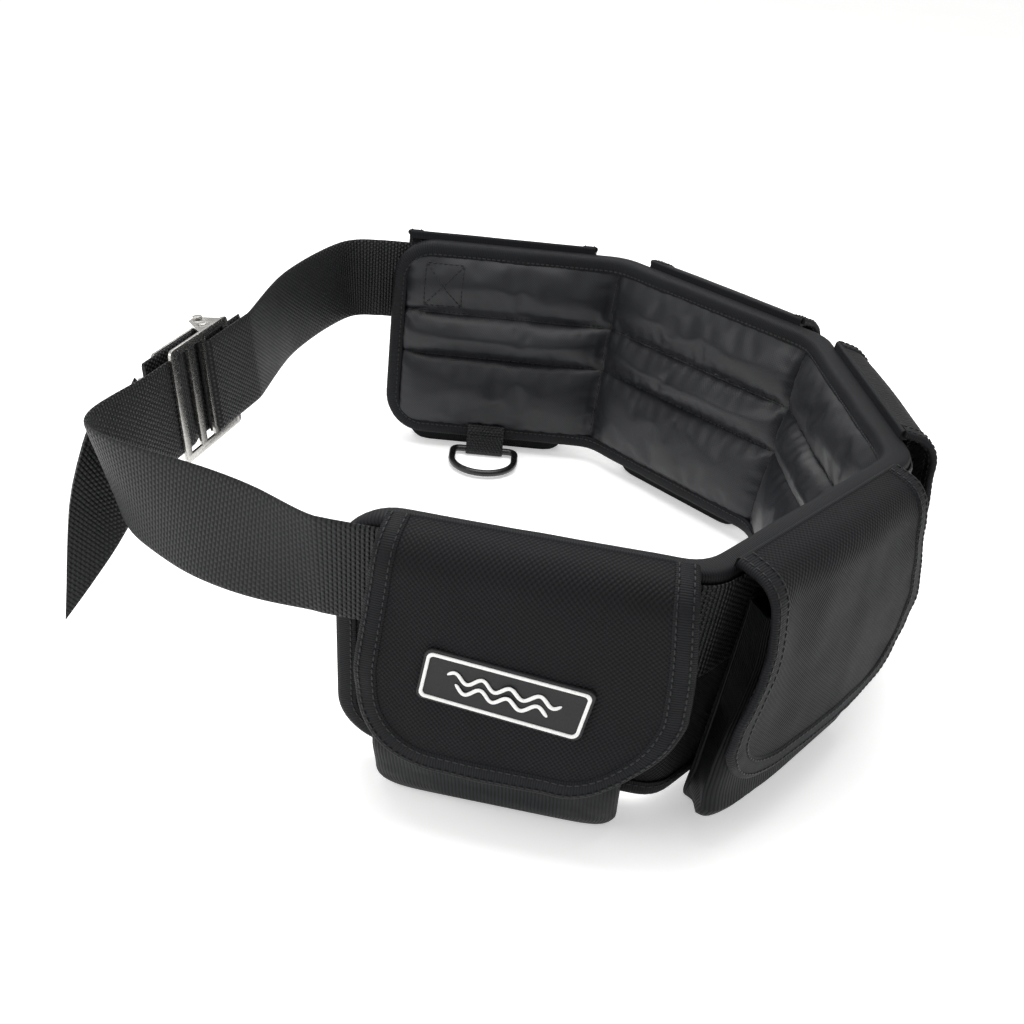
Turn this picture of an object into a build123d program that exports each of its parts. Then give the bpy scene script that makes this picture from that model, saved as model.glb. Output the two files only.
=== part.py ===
"""Five-pocket padded dive weight belt, lying closed in a loop on a table.

All sizes are in millimetres. +Z is up, the floor under the pocket bottoms is Z = 0
and the origin is the middle of the loop's footprint. The five padded segments
run counter-clockwise seen from above, from the front left end to the back left end.
Every layer leans outward towards its top edge by the same flare angle.
"""

import os
from math import atan2, cos, degrees, hypot, pi, radians, sin, tan

from build123d import *

# ---------------------------------------------------------------- driving dimensions
SEGMENT_LENGTH = 140.0        # one padded segment, seam to seam along the inner face
PAD_HEIGHT = 128.0            # padded back, bottom edge to top edge
PAD_THICKNESS = 10.0          # lining + foam + shell
PAD_LIFT = 10.0               # pocket bottoms hang this far below the pad
PAD_CORNER = 26.0             # rounded corners at the two ends of the pad
FLARE = radians(8.0)          # outward lean of every upright layer
HEADINGS = (-9.0, 51.5, 95.5, 134.0, 180.5)
FRONT_LEFT = (-67.635, -153.1)  # start of the inner face at floor level

SKIN = 1.0                    # lining and shell fabric
BINDING = 1.0                 # binding tape thickness
BINDING_COVER = 9.0           # width of binding tape seen on each face
GAP = 0.3                     # clearance between separate pieces

WEB_WIDTH = 50.0
WEB_THICKNESS = 2.0
WEB_BELOW_TOP = 5.0           # webbing top edge below the pad's top edge
FRONT_SLACK = 2.3             # how far the free front run tips back, in units of the flare
FRONT_TIP = 1.3               # how much further its bend leans out

POCKET_WIDTH = 108.0
POCKET_BASE = 28.0            # depth over the front panel at its lower edge
POCKET_THROAT = 14.0          # depth over the front panel at the mouth
POCKET_RISE = 22.0            # the front panel's lower edge is this far above the floor
POCKET_FOOT = 10.0            # flat part of the pocket bottom that rests on the floor
POCKET_WALL = 1.8
POCKET_MOUTH = 26.0           # front panel ends this far below the pad's top edge
POCKET_CORNER = 12.0

POCKET_SHIFTS = (8.0, -6.0, 0.0, 0.0, 0.0)   # pockets off the middle of their segments
FLAP_WIDTH = 132.0            # widest, above the bottom corners
FLAP_TOP = 124.0              # width at the hinge
FLAP_THICKNESS = 2.4
FLAP_DROP = 104.0             # lowest point of the flap below the pad's top edge
FLAP_CORNER = 38.0
FLAP_TAPE = 10.0              # binding seen round the flap
CLOSURE_TAPE = 1.3            # hook tape, loop tape
CLOSURE_WIDTH = 88.0
CLOSURE_HEIGHT = 36.0
CLOSURE_RISE = 16.0           # closure tapes start this far above the flap's lowest point

BADGE_LENGTH = 68.0
BADGE_HEIGHT = 24.0
BADGE_THICKNESS = 1.6

BUCKLE_HEADING = 77.0
BUCKLE_LENGTH = 62.0
BUCKLE_PLATE = 1.6
BUCKLE_SIDE = 4.0             # side rails beside the slots
EAR_THICKNESS = 1.8
LEVER_THICKNESS = 1.4
PIN_DIAMETER = 3.0
BAR_DIAMETER = 5.0

RING_WIRE = 4.5
RING_WIDTH = 42.0             # centre to centre of the two legs
RING_REACH = 36.0             # straight bar to the middle of the arc
KEEPER_WIDTH = 25.0
KEEPER_HEIGHT = 10.0

# ---------------------------------------------------------------- derived sizes
LEAN = tan(FLARE)
PAD_BOTTOM = PAD_LIFT
PAD_TOP = PAD_BOTTOM + PAD_HEIGHT
WEB_TOP = PAD_TOP - WEB_BELOW_TOP
WEB_BOTTOM = WEB_TOP - WEB_WIDTH
WEB_MIDDLE = (WEB_TOP + WEB_BOTTOM) / 2
WEB_DEPTH = PAD_THICKNESS + BINDING + GAP + WEB_THICKNESS / 2
BACK_NEAR = WEB_DEPTH + WEB_THICKNESS / 2 + GAP
BACK_FAR = BACK_NEAR + POCKET_WALL
POCKET_TOP = PAD_TOP - POCKET_MOUTH
LOOP_FAR = GAP + CLOSURE_TAPE             # from here on: measured from the front panel
HOOK_NEAR = LOOP_FAR + GAP
HOOK_FAR = HOOK_NEAR + CLOSURE_TAPE
FLAP_NEAR = HOOK_FAR + GAP
FLAP_MIDDLE = FLAP_NEAR + FLAP_THICKNESS / 2
FLAP_FAR = FLAP_NEAR + FLAP_THICKNESS
FLAP_LOW = PAD_TOP - FLAP_DROP
FLAP_SKIN = 0.8               # flap binding stands proud of the flap by this much
HINGE_DEPTH = PAD_THICKNESS + 1.0
HINGE_HEIGHT = PAD_TOP + FLAP_THICKNESS / 2 + FLAP_SKIN + GAP
CLOSURE_LOW = FLAP_LOW + CLOSURE_RISE
CLOSURE_HIGH = CLOSURE_LOW + CLOSURE_HEIGHT


# ---------------------------------------------------------------- plan of the loop
def along(heading):
    return cos(radians(heading)), sin(radians(heading))


def outward(heading):
    return sin(radians(heading)), -cos(radians(heading))


def seam_points():
    """Corners of the inner face at floor level, front left to back left."""
    points = [FRONT_LEFT]
    for heading in HEADINGS:
        x, y = points[-1]
        u, v = along(heading)
        points.append((x + u * SEGMENT_LENGTH, y + v * SEGMENT_LENGTH))
    return points


SEAMS = seam_points()


def seam_spread(index):
    """Vector that moves a seam corner outward by one unit of depth."""
    if index == 0:
        return outward(HEADINGS[0])
    if index == len(HEADINGS):
        return outward(HEADINGS[-1])
    turn = radians(HEADINGS[index] - HEADINGS[index - 1]) / 2
    u, v = outward((HEADINGS[index] + HEADINGS[index - 1]) / 2)
    return u / cos(turn), v / cos(turn)


def seam_at(index, depth, height, trim=0.0):
    """Plan position of a seam corner at a depth and height; trim shortens the ends."""
    x, y = SEAMS[index]
    u, v = seam_spread(index)
    reach = depth + height * LEAN
    x += u * reach
    y += v * reach
    if index == 0:
        x += along(HEADINGS[0])[0] * trim
        y += along(HEADINGS[0])[1] * trim
    if index == len(HEADINGS):
        x -= along(HEADINGS[-1])[0] * trim
        y -= along(HEADINGS[-1])[1] * trim
    return x, y


def segment_middle(index):
    a = SEAMS[index]
    b = SEAMS[index + 1]
    return (a[0] + b[0]) / 2, (a[1] + b[1]) / 2


def profile_plane(index):
    """X is outward, Y is up: the cross-section through the middle of a segment."""
    x, y = segment_middle(index)
    u, v = outward(HEADINGS[index])
    c, s = along(HEADINGS[index])
    return Plane(origin=(x, y, 0), x_dir=(u, v, 0), z_dir=(-c, -s, 0))


def face_plane(index):
    """X runs along the segment, Y is up, Z is outward."""
    x, y = segment_middle(index)
    u, v = outward(HEADINGS[index])
    c, s = along(HEADINGS[index])
    return Plane(origin=(x, y, 0), x_dir=(c, s, 0), z_dir=(u, v, 0))


def lean(depth, height):
    """Point of a cross-section: depth from the inner face at that height."""
    return depth + height * LEAN, height


def front(depth, height):
    """Point of a cross-section measured from the outside of the front panel."""
    share = (height - POCKET_RISE) / (POCKET_TOP - POCKET_RISE)
    reach = POCKET_BASE + (POCKET_THROAT - POCKET_BASE) * share
    return lean(BACK_NEAR + reach + depth, height)


def finish(piece, name):
    piece.part.label = name
    export_step(piece.part, f"parts/{name}.step")


os.makedirs("parts", exist_ok=True)


# ---------------------------------------------------------------- padded back
def pad_strip(near, far, inset, radius):
    """A layer of the pad over all five segments, its four end corners rounded."""
    last = len(HEADINGS)
    with BuildPart() as strip:
        for height in (PAD_BOTTOM + inset, PAD_TOP - inset):
            inner = [seam_at(i, near, height, inset) for i in range(last + 1)]
            outer = [seam_at(i, far, height, inset) for i in range(last, -1, -1)]
            with BuildSketch(Plane.XY.offset(height)):
                with BuildLine():
                    Polyline(*inner, *outer, close=True)
                make_face()
        loft(ruled=True)
        for index, side in ((0, -1), (len(HEADINGS) - 1, 1)):
            for height, up in ((PAD_BOTTOM + inset, -1), (PAD_TOP - inset, 1)):
                end = side * (SEGMENT_LENGTH / 2 - inset)
                with BuildSketch(face_plane(index)):
                    with Locations((end - side * (radius / 2 - 1), height - up * (radius / 2 - 1))):
                        Rectangle(radius + 2, radius + 2)
                    reach = radius - 0.03
                    with Locations((end - side * reach, height - up * reach)):
                        Circle(radius, mode=Mode.SUBTRACT)
                extrude(amount=50, both=True, mode=Mode.SUBTRACT)
    return strip


lining = pad_strip(0.0, SKIN, BINDING + GAP, PAD_CORNER - BINDING - GAP)
finish(lining, "lining")

back_shell = pad_strip(PAD_THICKNESS - SKIN, PAD_THICKNESS, BINDING + GAP, PAD_CORNER - BINDING - GAP)
finish(back_shell, "back_shell")

binding_core = pad_strip(-GAP / 2, PAD_THICKNESS + GAP / 2, BINDING, PAD_CORNER - BINDING)
binding_window = pad_strip(
    -2 * BINDING, PAD_THICKNESS + 2 * BINDING, BINDING_COVER, PAD_CORNER - BINDING_COVER
)
binding_block = pad_strip(-BINDING, PAD_THICKNESS + BINDING, 0.0, PAD_CORNER)
with BuildPart() as edge_binding:
    add(binding_block.part)
    add(binding_core.part, mode=Mode.SUBTRACT)
    add(binding_window.part, mode=Mode.SUBTRACT)
finish(edge_binding, "edge_binding")


def foam_pad(index):
    """Closed-cell foam slab of one segment, between lining and shell."""
    low = PAD_BOTTOM + 3.0
    high = PAD_TOP - 3.0
    near = SKIN + 0.15
    far = PAD_THICKNESS - SKIN - 0.15
    half = SEGMENT_LENGTH / 2 - 5.0
    with BuildPart() as foam:
        with BuildSketch(profile_plane(index)):
            with BuildLine():
                Polyline(lean(near, low), lean(far, low), lean(far, high), lean(near, high), close=True)
            make_face()
        extrude(amount=half, both=True)
        ends = foam.faces().sort_by(Axis((0, 0, 0), (*along(HEADINGS[index]), 0)))
        for number, face in ((0, ends[0]), (4, ends[-1])):
            if number == index:
                across = face.edges().filter_by(lambda e: e.length < PAD_THICKNESS)
                fillet(across, PAD_CORNER - 5.0)
    return foam


for number in range(5):
    finish(foam_pad(number), f"foam_pad_{number + 1}")


# ---------------------------------------------------------------- pockets
def pocket_panel(index, corners):
    """Front or back panel of a pocket: a cross-section cut to the face outline."""
    with BuildPart() as panel:
        with BuildSketch(profile_plane(index)):
            with BuildLine():
                Polyline(*corners, close=True)
            make_face()
        extrude(amount=SEGMENT_LENGTH / 2, both=True)
        with BuildSketch(face_plane(index)) as outline:
            with Locations((POCKET_SHIFTS[index], POCKET_TOP / 2 + 15)):
                Rectangle(POCKET_WIDTH, POCKET_TOP + 30)
            fillet(outline.vertices().group_by(Axis.Y)[0], POCKET_CORNER)
        extrude(amount=150, both=True, mode=Mode.INTERSECT)
    return panel


BACK_CORNERS = (
    lean(BACK_NEAR, 0.0),
    lean(BACK_FAR, 0.0),
    lean(BACK_FAR, POCKET_TOP + 6),
    lean(BACK_NEAR, POCKET_TOP + 6),
)
FRONT_CORNERS = (
    front(-POCKET_WALL, POCKET_RISE - 0.9),
    front(0.0, POCKET_RISE),
    front(0.0, POCKET_TOP),
    front(-POCKET_WALL, POCKET_TOP),
)


def pocket_gusset(index):
    """Side and bottom band of a pocket, open at the top."""
    near = BACK_FAR + 0.05
    inside = -POCKET_WALL - 0.05
    floor = (near + POCKET_FOOT, 0.0)
    rim = front(inside, POCKET_RISE - 0.9)
    shell = (lean(near, 0.0), floor, rim, front(inside, POCKET_TOP), lean(near, POCKET_TOP + 6))
    lift = POCKET_WALL
    room = (
        lean(near - 5, lift),
        (near + POCKET_FOOT - 0.4, lift),
        (rim[0] + 5, rim[1] + lift + 2.4),
        (rim[0] + 15, POCKET_TOP + 20),
        lean(near - 5, POCKET_TOP + 20),
    )
    with BuildPart() as gusset:
        with BuildSketch(profile_plane(index)):
            with BuildLine():
                Polyline(*shell, close=True)
            make_face()
        extrude(amount=SEGMENT_LENGTH / 2, both=True)
        with BuildSketch(face_plane(index)) as outline:
            with Locations((POCKET_SHIFTS[index], POCKET_TOP / 2 + 15)):
                Rectangle(POCKET_WIDTH, POCKET_TOP + 30)
            fillet(outline.vertices().group_by(Axis.Y)[0], POCKET_CORNER)
        extrude(amount=150, both=True, mode=Mode.INTERSECT)
        with BuildSketch(profile_plane(index).offset(-POCKET_SHIFTS[index])):
            with BuildLine():
                Polyline(*room, close=True)
            make_face()
        extrude(amount=POCKET_WIDTH / 2 - POCKET_WALL, both=True, mode=Mode.SUBTRACT)
    return gusset


for number in range(5):
    finish(pocket_panel(number, BACK_CORNERS), f"pocket_back_{number + 1}")
    finish(pocket_panel(number, FRONT_CORNERS), f"pocket_front_{number + 1}")
    finish(pocket_gusset(number), f"pocket_gusset_{number + 1}")


# ---------------------------------------------------------------- flaps
def flap_line():
    """Cross-section of the flap: hinge, shoulder over the mouth, lowest point."""
    start = lean(HINGE_DEPTH, PAD_TOP)
    return (start[0], HINGE_HEIGHT), front(FLAP_MIDDLE, PAD_TOP - 3.0), front(FLAP_MIDDLE, FLAP_LOW - 5)


def flap_outline(index, inset):
    """Face outline of the flap, wider below than at the hinge."""
    shift = POCKET_SHIFTS[index]
    top = FLAP_TOP / 2 - inset
    wide = FLAP_WIDTH / 2 - inset
    waist = FLAP_LOW + FLAP_CORNER + 6
    low = FLAP_LOW + inset
    left = [(shift - top, PAD_TOP + 20), (shift - wide, waist), (shift - wide + 5, low)]
    right = [(shift + wide - 5, low), (shift + wide, waist), (shift + top, PAD_TOP + 20)]
    return left + right


def flap_layer(index, thickness, inset):
    """A sheet that follows the flap's cross-section, cut to the face outline."""
    with BuildPart() as layer:
        with BuildSketch(profile_plane(index)):
            with BuildLine():
                FilletPolyline(*flap_line(), radius=12)
                offset(amount=thickness / 2, side=Side.BOTH)
            make_face()
        extrude(amount=SEGMENT_LENGTH, both=True)
        with BuildSketch(face_plane(index)) as outline:
            with BuildLine():
                Polyline(*flap_outline(index, inset), close=True)
            make_face()
            fillet(outline.vertices().group_by(Axis.Y)[0], FLAP_CORNER - inset)
        extrude(amount=150, both=True, mode=Mode.INTERSECT)
    return layer


def flap_binding(index):
    """Binding tape folded over the two sides and the bottom edge of a flap."""
    core = flap_layer(index, FLAP_THICKNESS + 0.2, FLAP_SKIN)
    block = flap_layer(index, FLAP_THICKNESS + 2 * FLAP_SKIN, 0.0)
    with BuildPart() as binding:
        add(block.part)
        add(core.part, mode=Mode.SUBTRACT)
        with BuildSketch(face_plane(index)) as window:
            with BuildLine():
                Polyline(*flap_outline(index, FLAP_TAPE), close=True)
            make_face()
            fillet(window.vertices().group_by(Axis.Y)[0], FLAP_CORNER - FLAP_TAPE)
        extrude(amount=150, both=True, mode=Mode.SUBTRACT)
    return binding


def closure_tape(index, near, far):
    """Rectangle of hook or loop tape, between the front panel and the flap."""
    corners = (
        front(near, CLOSURE_LOW),
        front(far, CLOSURE_LOW),
        front(far, CLOSURE_HIGH),
        front(near, CLOSURE_HIGH),
    )
    with BuildPart() as tape:
        with BuildSketch(profile_plane(index).offset(-POCKET_SHIFTS[index])):
            with BuildLine():
                Polyline(*corners, close=True)
            make_face()
        extrude(amount=CLOSURE_WIDTH / 2, both=True)
    return tape


for number in range(5):
    finish(flap_layer(number, FLAP_THICKNESS, FLAP_SKIN + 0.15), f"flap_{number + 1}")
    finish(flap_binding(number), f"flap_binding_{number + 1}")
    finish(closure_tape(number, HOOK_NEAR, HOOK_FAR), f"hook_tape_{number + 1}")
    finish(closure_tape(number, GAP, LOOP_FAR), f"loop_tape_{number + 1}")


# ---------------------------------------------------------------- badge on flap 1
BADGE_PLACE = (12.0, FLAP_LOW + 41.0)


def badge_plane(depth):
    """Plane on the outside of flap 1, X along the flap."""
    low = front(FLAP_FAR, FLAP_LOW)
    high = front(FLAP_FAR, POCKET_TOP)
    tilt = atan2(high[0] - low[0], high[1] - low[1])
    n = front(FLAP_FAR, BADGE_PLACE[1])[0] + depth
    spot = face_plane(0).from_local_coords((BADGE_PLACE[0], BADGE_PLACE[1], n))
    u, v = outward(HEADINGS[0])
    c, s = along(HEADINGS[0])
    return Plane(origin=spot, x_dir=(c, s, 0), z_dir=(u * cos(tilt), v * cos(tilt), -sin(tilt)))


with BuildPart() as badge:
    with BuildSketch(badge_plane(GAP)):
        RectangleRounded(BADGE_LENGTH, BADGE_HEIGHT, 3.2)
    extrude(amount=BADGE_THICKNESS)
finish(badge, "badge")

with BuildPart() as badge_border:
    with BuildSketch(badge_plane(GAP + BADGE_THICKNESS + 0.05)):
        RectangleRounded(BADGE_LENGTH - 2.4, BADGE_HEIGHT - 2.4, 2.4)
        RectangleRounded(BADGE_LENGTH - 4.6, BADGE_HEIGHT - 4.6, 1.6, mode=Mode.SUBTRACT)
    extrude(amount=0.5)
finish(badge_border, "badge_border")


# ---------------------------------------------------------------- buckle
BUCKLE_FRONT = (SEAMS[0][0] - 92.0, SEAMS[0][1] + 110.0)
BUCKLE_U = along(BUCKLE_HEADING)
BUCKLE_N = (-BUCKLE_U[1], BUCKLE_U[0])

SLOT_A = (6.0, 17.0)
SLOT_B = (23.0, 32.5)
SLOT_C = (36.5, BUCKLE_LENGTH - 6.0)
BAR_U = 50.0
FIXED_N = WEB_THICKNESS / 2 + 0.1
FREE_N = FIXED_N + WEB_THICKNESS + 0.25
EXIT_U = -7.0                 # the webbing leaves the lever here, the tail goes on
TAIL_GAP = 1.3                # room for the bend between the webbing and the tail
UNDER_N = -BUCKLE_PLATE - 0.2 - WEB_THICKNESS / 2
TURN = (FIXED_N - UNDER_N) / 2    # the webbing turns round the bar between slots B and C
BAR_N = FREE_N + BAR_DIAMETER / 2 + WEB_THICKNESS / 2 + 0.1
RETURN_N = BAR_N + BAR_DIAMETER / 2 + WEB_THICKNESS / 2 + 0.1
LEVER_N = RETURN_N + WEB_THICKNESS / 2 + 0.3
PIN_N = LEVER_N + PIN_DIAMETER / 2 + 0.9
PIN_U = BUCKLE_LENGTH - 3.5
WEB_REACH = RETURN_N + WEB_THICKNESS / 2  # the webbing's level edges climb the leaning buckle
EAR_NEAR = (WEB_WIDTH / 2 + WEB_REACH * sin(FLARE)) / cos(FLARE) + GAP
WINDOW_HALF = EAR_NEAR - 0.6
FRAME_HALF = WINDOW_HALF + BUCKLE_SIDE
EAR_FAR = EAR_NEAR + EAR_THICKNESS


def buckle_spot(u, n, w=0.0):
    """Point in the leaning frame of the buckle: along, outward, across."""
    flat = n * cos(FLARE) + w * sin(FLARE)
    x = BUCKLE_FRONT[0] + WEB_MIDDLE * LEAN * BUCKLE_N[0] + u * BUCKLE_U[0] + flat * BUCKLE_N[0]
    y = BUCKLE_FRONT[1] + WEB_MIDDLE * LEAN * BUCKLE_N[1] + u * BUCKLE_U[1] + flat * BUCKLE_N[1]
    return x, y, WEB_MIDDLE + w * cos(FLARE) - n * sin(FLARE)


ACROSS = (BUCKLE_N[0] * sin(FLARE), BUCKLE_N[1] * sin(FLARE), cos(FLARE))
FACING = (BUCKLE_N[0] * cos(FLARE), BUCKLE_N[1] * cos(FLARE), -sin(FLARE))
buckle_side = Plane(origin=buckle_spot(0, 0), x_dir=(*BUCKLE_U, 0), z_dir=ACROSS)
buckle_face = Plane(origin=buckle_spot(0, 0), x_dir=(*BUCKLE_U, 0), z_dir=FACING)

with BuildPart() as buckle_frame:
    with BuildSketch(buckle_face.offset(-BUCKLE_PLATE)) as plate:
        with Locations((BUCKLE_LENGTH / 2, 0)):
            Rectangle(BUCKLE_LENGTH, 2 * FRAME_HALF)
        fillet(plate.vertices(), 3.0)
        for start, end in (SLOT_A, SLOT_B, SLOT_C):
            with Locations(((start + end) / 2, 0)):
                Rectangle(end - start, 2 * WINDOW_HALF, mode=Mode.SUBTRACT)
    extrude(amount=BUCKLE_PLATE)
    for side in (-1, 1):
        with BuildSketch(buckle_side.offset(side * (EAR_NEAR + EAR_FAR) / 2)) as ear:
            with BuildLine():
                Polyline(
                    (BAR_U - 16, -0.4),
                    (BUCKLE_LENGTH - 0.5, -0.4),
                    (BUCKLE_LENGTH - 0.5, PIN_N + 3.0),
                    (PIN_U - 4.5, PIN_N + 3.0),
                    (BAR_U - 13, 2.0),
                    close=True,
                )
            make_face()
            fillet(ear.vertices().sort_by(Axis.Y)[-2:], 2.4)
            with Locations((BAR_U, BAR_N)):
                Circle(BAR_DIAMETER / 2 + 0.03, mode=Mode.SUBTRACT)
            with Locations((PIN_U, PIN_N)):
                Circle(PIN_DIAMETER / 2 + 0.03, mode=Mode.SUBTRACT)
        extrude(amount=EAR_THICKNESS / 2, both=True)
finish(buckle_frame, "buckle_frame")

with BuildPart() as anchor_bar:
    with BuildSketch(buckle_side):
        with Locations((BAR_U, BAR_N)):
            Circle(BAR_DIAMETER / 2)
    extrude(amount=EAR_FAR + 0.6, both=True)
    chamfer(anchor_bar.edges(), 0.4)
finish(anchor_bar, "anchor_bar")

with BuildPart() as lever_pin:
    with BuildSketch(buckle_side):
        with Locations((PIN_U, PIN_N)):
            Circle(PIN_DIAMETER / 2)
    extrude(amount=EAR_FAR + 0.4, both=True)
    for side in (-1, 1):
        with BuildSketch(buckle_side.offset(side * (EAR_FAR + 0.3))):
            with Locations((PIN_U, PIN_N)):
                Circle(PIN_DIAMETER / 2 + 1.1)
        extrude(amount=side * 1.2)
finish(lever_pin, "lever_pin")

LEVER_HALF = EAR_NEAR - 0.4
LEVER_START = -2.0
with BuildPart() as buckle_lever:
    with BuildSketch(buckle_face.offset(LEVER_N)) as plate:
        with BuildLine():
            Polyline(
                (PIN_U - 1.0, -LEVER_HALF),
                (PIN_U - 1.0, LEVER_HALF),
                (LEVER_START + 9, LEVER_HALF),
                (LEVER_START, LEVER_HALF - 7),
                (LEVER_START, -LEVER_HALF + 7),
                (LEVER_START + 9, -LEVER_HALF),
                close=True,
            )
        make_face()
        fillet(plate.vertices().group_by(Axis.X)[0], 4.0)
    extrude(amount=LEVER_THICKNESS)
    with BuildSketch(buckle_side):
        with Locations((PIN_U, PIN_N)):
            Circle(PIN_DIAMETER / 2 + 1.2)
        with Locations((PIN_U, PIN_N)):
            Circle(PIN_DIAMETER / 2 + 0.06, mode=Mode.SUBTRACT)
    extrude(amount=LEVER_HALF, both=True)
    with BuildSketch(buckle_side):
        with Locations((PIN_U, PIN_N)):
            Circle(PIN_DIAMETER / 2 + 0.06)
    extrude(amount=LEVER_HALF + 2, both=True, mode=Mode.SUBTRACT)
    with BuildSketch(buckle_side) as lip:
        with BuildLine():
            Polyline(
                (LEVER_START, LEVER_N),
                (LEVER_START + LEVER_THICKNESS, LEVER_N),
                (LEVER_START + LEVER_THICKNESS, LEVER_N + LEVER_THICKNESS),
                (LEVER_START - 3.5, LEVER_N + 4.2),
                (LEVER_START - 4.2, LEVER_N + 3.0),
                close=True,
            )
        make_face()
    extrude(amount=LEVER_HALF - 9, both=True)
finish(buckle_lever, "buckle_lever")


# ---------------------------------------------------------------- webbing
def smooth(points, steps):
    """Catmull-Rom curve through the inner points of a list."""
    curve = []
    for a, b, c, d in zip(points, points[1:], points[2:], points[3:]):
        for k in range(steps):
            t = k / steps
            spot = []
            for p, q, r, s in zip(a, b, c, d):
                bend = (2 * p - 5 * q + 4 * r - s) * t * t + (3 * q - p - 3 * r + s) * t * t * t
                spot.append(0.5 * (2 * q + (r - p) * t + bend))
            curve.append(tuple(spot))
    curve.append(points[-2])
    return curve


def with_normals(points, slack, tip):
    """Pairs plan points with their lean; slack tips the first part of a run back
    and tip leans its bend further out."""
    pairs = []
    for k, spot in enumerate(points):
        a = points[max(k - 1, 0)]
        b = points[min(k + 1, len(points) - 1)]
        size = hypot(b[0] - a[0], b[1] - a[1])
        place = k / (len(points) - 1)
        share = 1 - slack * sin(pi * min(place / 0.62, 1)) ** 2
        share += tip * sin(pi * max(place - 0.5, 0) / 0.5) ** 2
        pairs.append((spot, (-share * (b[1] - a[1]) / size, share * (b[0] - a[0]) / size)))
    return pairs


def buckle_run(points):
    """Plan points of a webbing run inside the buckle, at the webbing's middle height."""
    run = []
    for u, n in points:
        x = BUCKLE_FRONT[0] + u * BUCKLE_U[0] + (n / cos(FLARE) + WEB_MIDDLE * LEAN) * BUCKLE_N[0]
        y = BUCKLE_FRONT[1] + u * BUCKLE_U[1] + (n / cos(FLARE) + WEB_MIDDLE * LEAN) * BUCKLE_N[1]
        run.append(((x, y), BUCKLE_N))
    return run


def around(u, n, radius, first, last, steps):
    """Points of a bend, angles from the +u direction towards +n."""
    spots = []
    for k in range(steps + 1):
        angle = radians(first + (last - first) * k / steps)
        spots.append((u + radius * cos(angle), n + radius * sin(angle)))
    return spots


fixed_run = [(80.0, FIXED_N), (66.0, FIXED_N), (50.0, FIXED_N), (38.0, FIXED_N)]
fixed_run += around(SLOT_B[1], UNDER_N + TURN, TURN, 90, 270, 8)
fixed_run += [(38.0, UNDER_N), (50.0, UNDER_N), (66.0, UNDER_N), (84.0, UNDER_N)]

seat = [seam_at(i, WEB_DEPTH, WEB_MIDDLE) for i in range(6)]
front_end = seat[0]
back_end = seat[5]
back_out = (back_end[0] - 8.0, back_end[1] - 0.4)
front_out = (front_end[0] - 6.0, front_end[1] + 1.2)
away = buckle_run([(70.0, UNDER_N), (84.0, UNDER_N)])
back_knee = (back_end[0] - 32.0, back_end[1] - 13.0)
back_mid = (
    (away[1][0][0] + back_knee[0]) / 2 - 8.0,
    (away[1][0][1] + back_knee[1]) / 2 + 4.0,
)
back_curve = smooth([away[0][0], away[1][0], back_mid, back_knee, back_out, back_end], 5)[1:]

left_bend = (SEAMS[0][0] - 122.0, SEAMS[0][1] + 38.0)
bend_start = (left_bend[0] + 11.0, left_bend[1] - 9.0)
bend_end = (left_bend[0] + 1.0, left_bend[1] + 12.0)
enter = buckle_run([(-16.0, FIXED_N), (-8.0, FIXED_N)])
front_curve = smooth(
    [
        front_end,
        front_out,
        (SEAMS[0][0] - 35.0, SEAMS[0][1] - 9.0),
        (SEAMS[0][0] - 76.0, SEAMS[0][1] + 9.0),
        bend_start,
        bend_end,
        enter[0][0],
        enter[1][0],
    ],
    5,
)

free_run = [(-8.0, FIXED_N), (10.0, FIXED_N), (15.0, FIXED_N + 0.3), (21.0, FREE_N - 0.3), (25.0, FREE_N)]
free_run += around(BAR_U, BAR_N, RETURN_N - BAR_N, -90, 90, 8)
free_run += [(30.0, RETURN_N), (EXIT_U, RETURN_N)]

web_path = buckle_run(fixed_run)
web_path += with_normals(back_curve, 0.0, 0.0)
for number in range(5, -1, -1):
    web_path.append((seat[number], seam_spread(number)))
web_path += with_normals(front_curve, FRONT_SLACK, FRONT_TIP)
web_path += buckle_run(free_run)


def ribbon_outline(path, height, thickness):
    """Closed outline of a ribbon standing on edge, cut at one height."""
    rise = (height - WEB_MIDDLE) * LEAN
    middle = [(p[0] + v[0] * rise, p[1] + v[1] * rise) for p, v in path]
    near = []
    far = []
    for k, (x, y) in enumerate(middle):
        a = middle[max(k - 1, 0)]
        b = middle[min(k + 1, len(middle) - 1)]
        first = atan2(y - a[1], x - a[0]) if k > 0 else atan2(b[1] - y, b[0] - x)
        second = atan2(b[1] - y, b[0] - x) if k < len(middle) - 1 else first
        turn = (second - first + pi) % (2 * pi) - pi
        reach = thickness / 2 / cos(turn / 2)
        angle = first + turn / 2 + pi / 2
        near.append((x + reach * cos(angle), y + reach * sin(angle)))
        far.append((x - reach * cos(angle), y - reach * sin(angle)))
    return near + far[::-1]


def drop_repeats(path):
    kept = [path[0]]
    for spot in path[1:]:
        if hypot(spot[0][0] - kept[-1][0][0], spot[0][1] - kept[-1][0][1]) > 1.0:
            kept.append(spot)
    return kept


with BuildPart() as belt_webbing:
    for height in (WEB_BOTTOM, WEB_TOP):
        with BuildSketch(Plane.XY.offset(height)):
            with BuildLine():
                Polyline(*ribbon_outline(drop_repeats(web_path), height, WEB_THICKNESS), close=True)
            make_face()
    loft(ruled=True)
finish(belt_webbing, "belt_webbing")

# share of the length, place along -u, outward, down, outward turn of the top edge
TAIL_SECTIONS = (
    (EXIT_U - TAIL_GAP, 0.0, 0.0, 0.0),
    (-25.0, -1.0, 8.0, 4.0),
    (-46.0, 2.0, 15.0, 10.0),
    (-65.0, 8.0, 25.0, 16.0),
    (-81.0, 18.0, 40.0, 22.0),
    (-95.0, 31.0, 58.0, 26.0),
)


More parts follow.
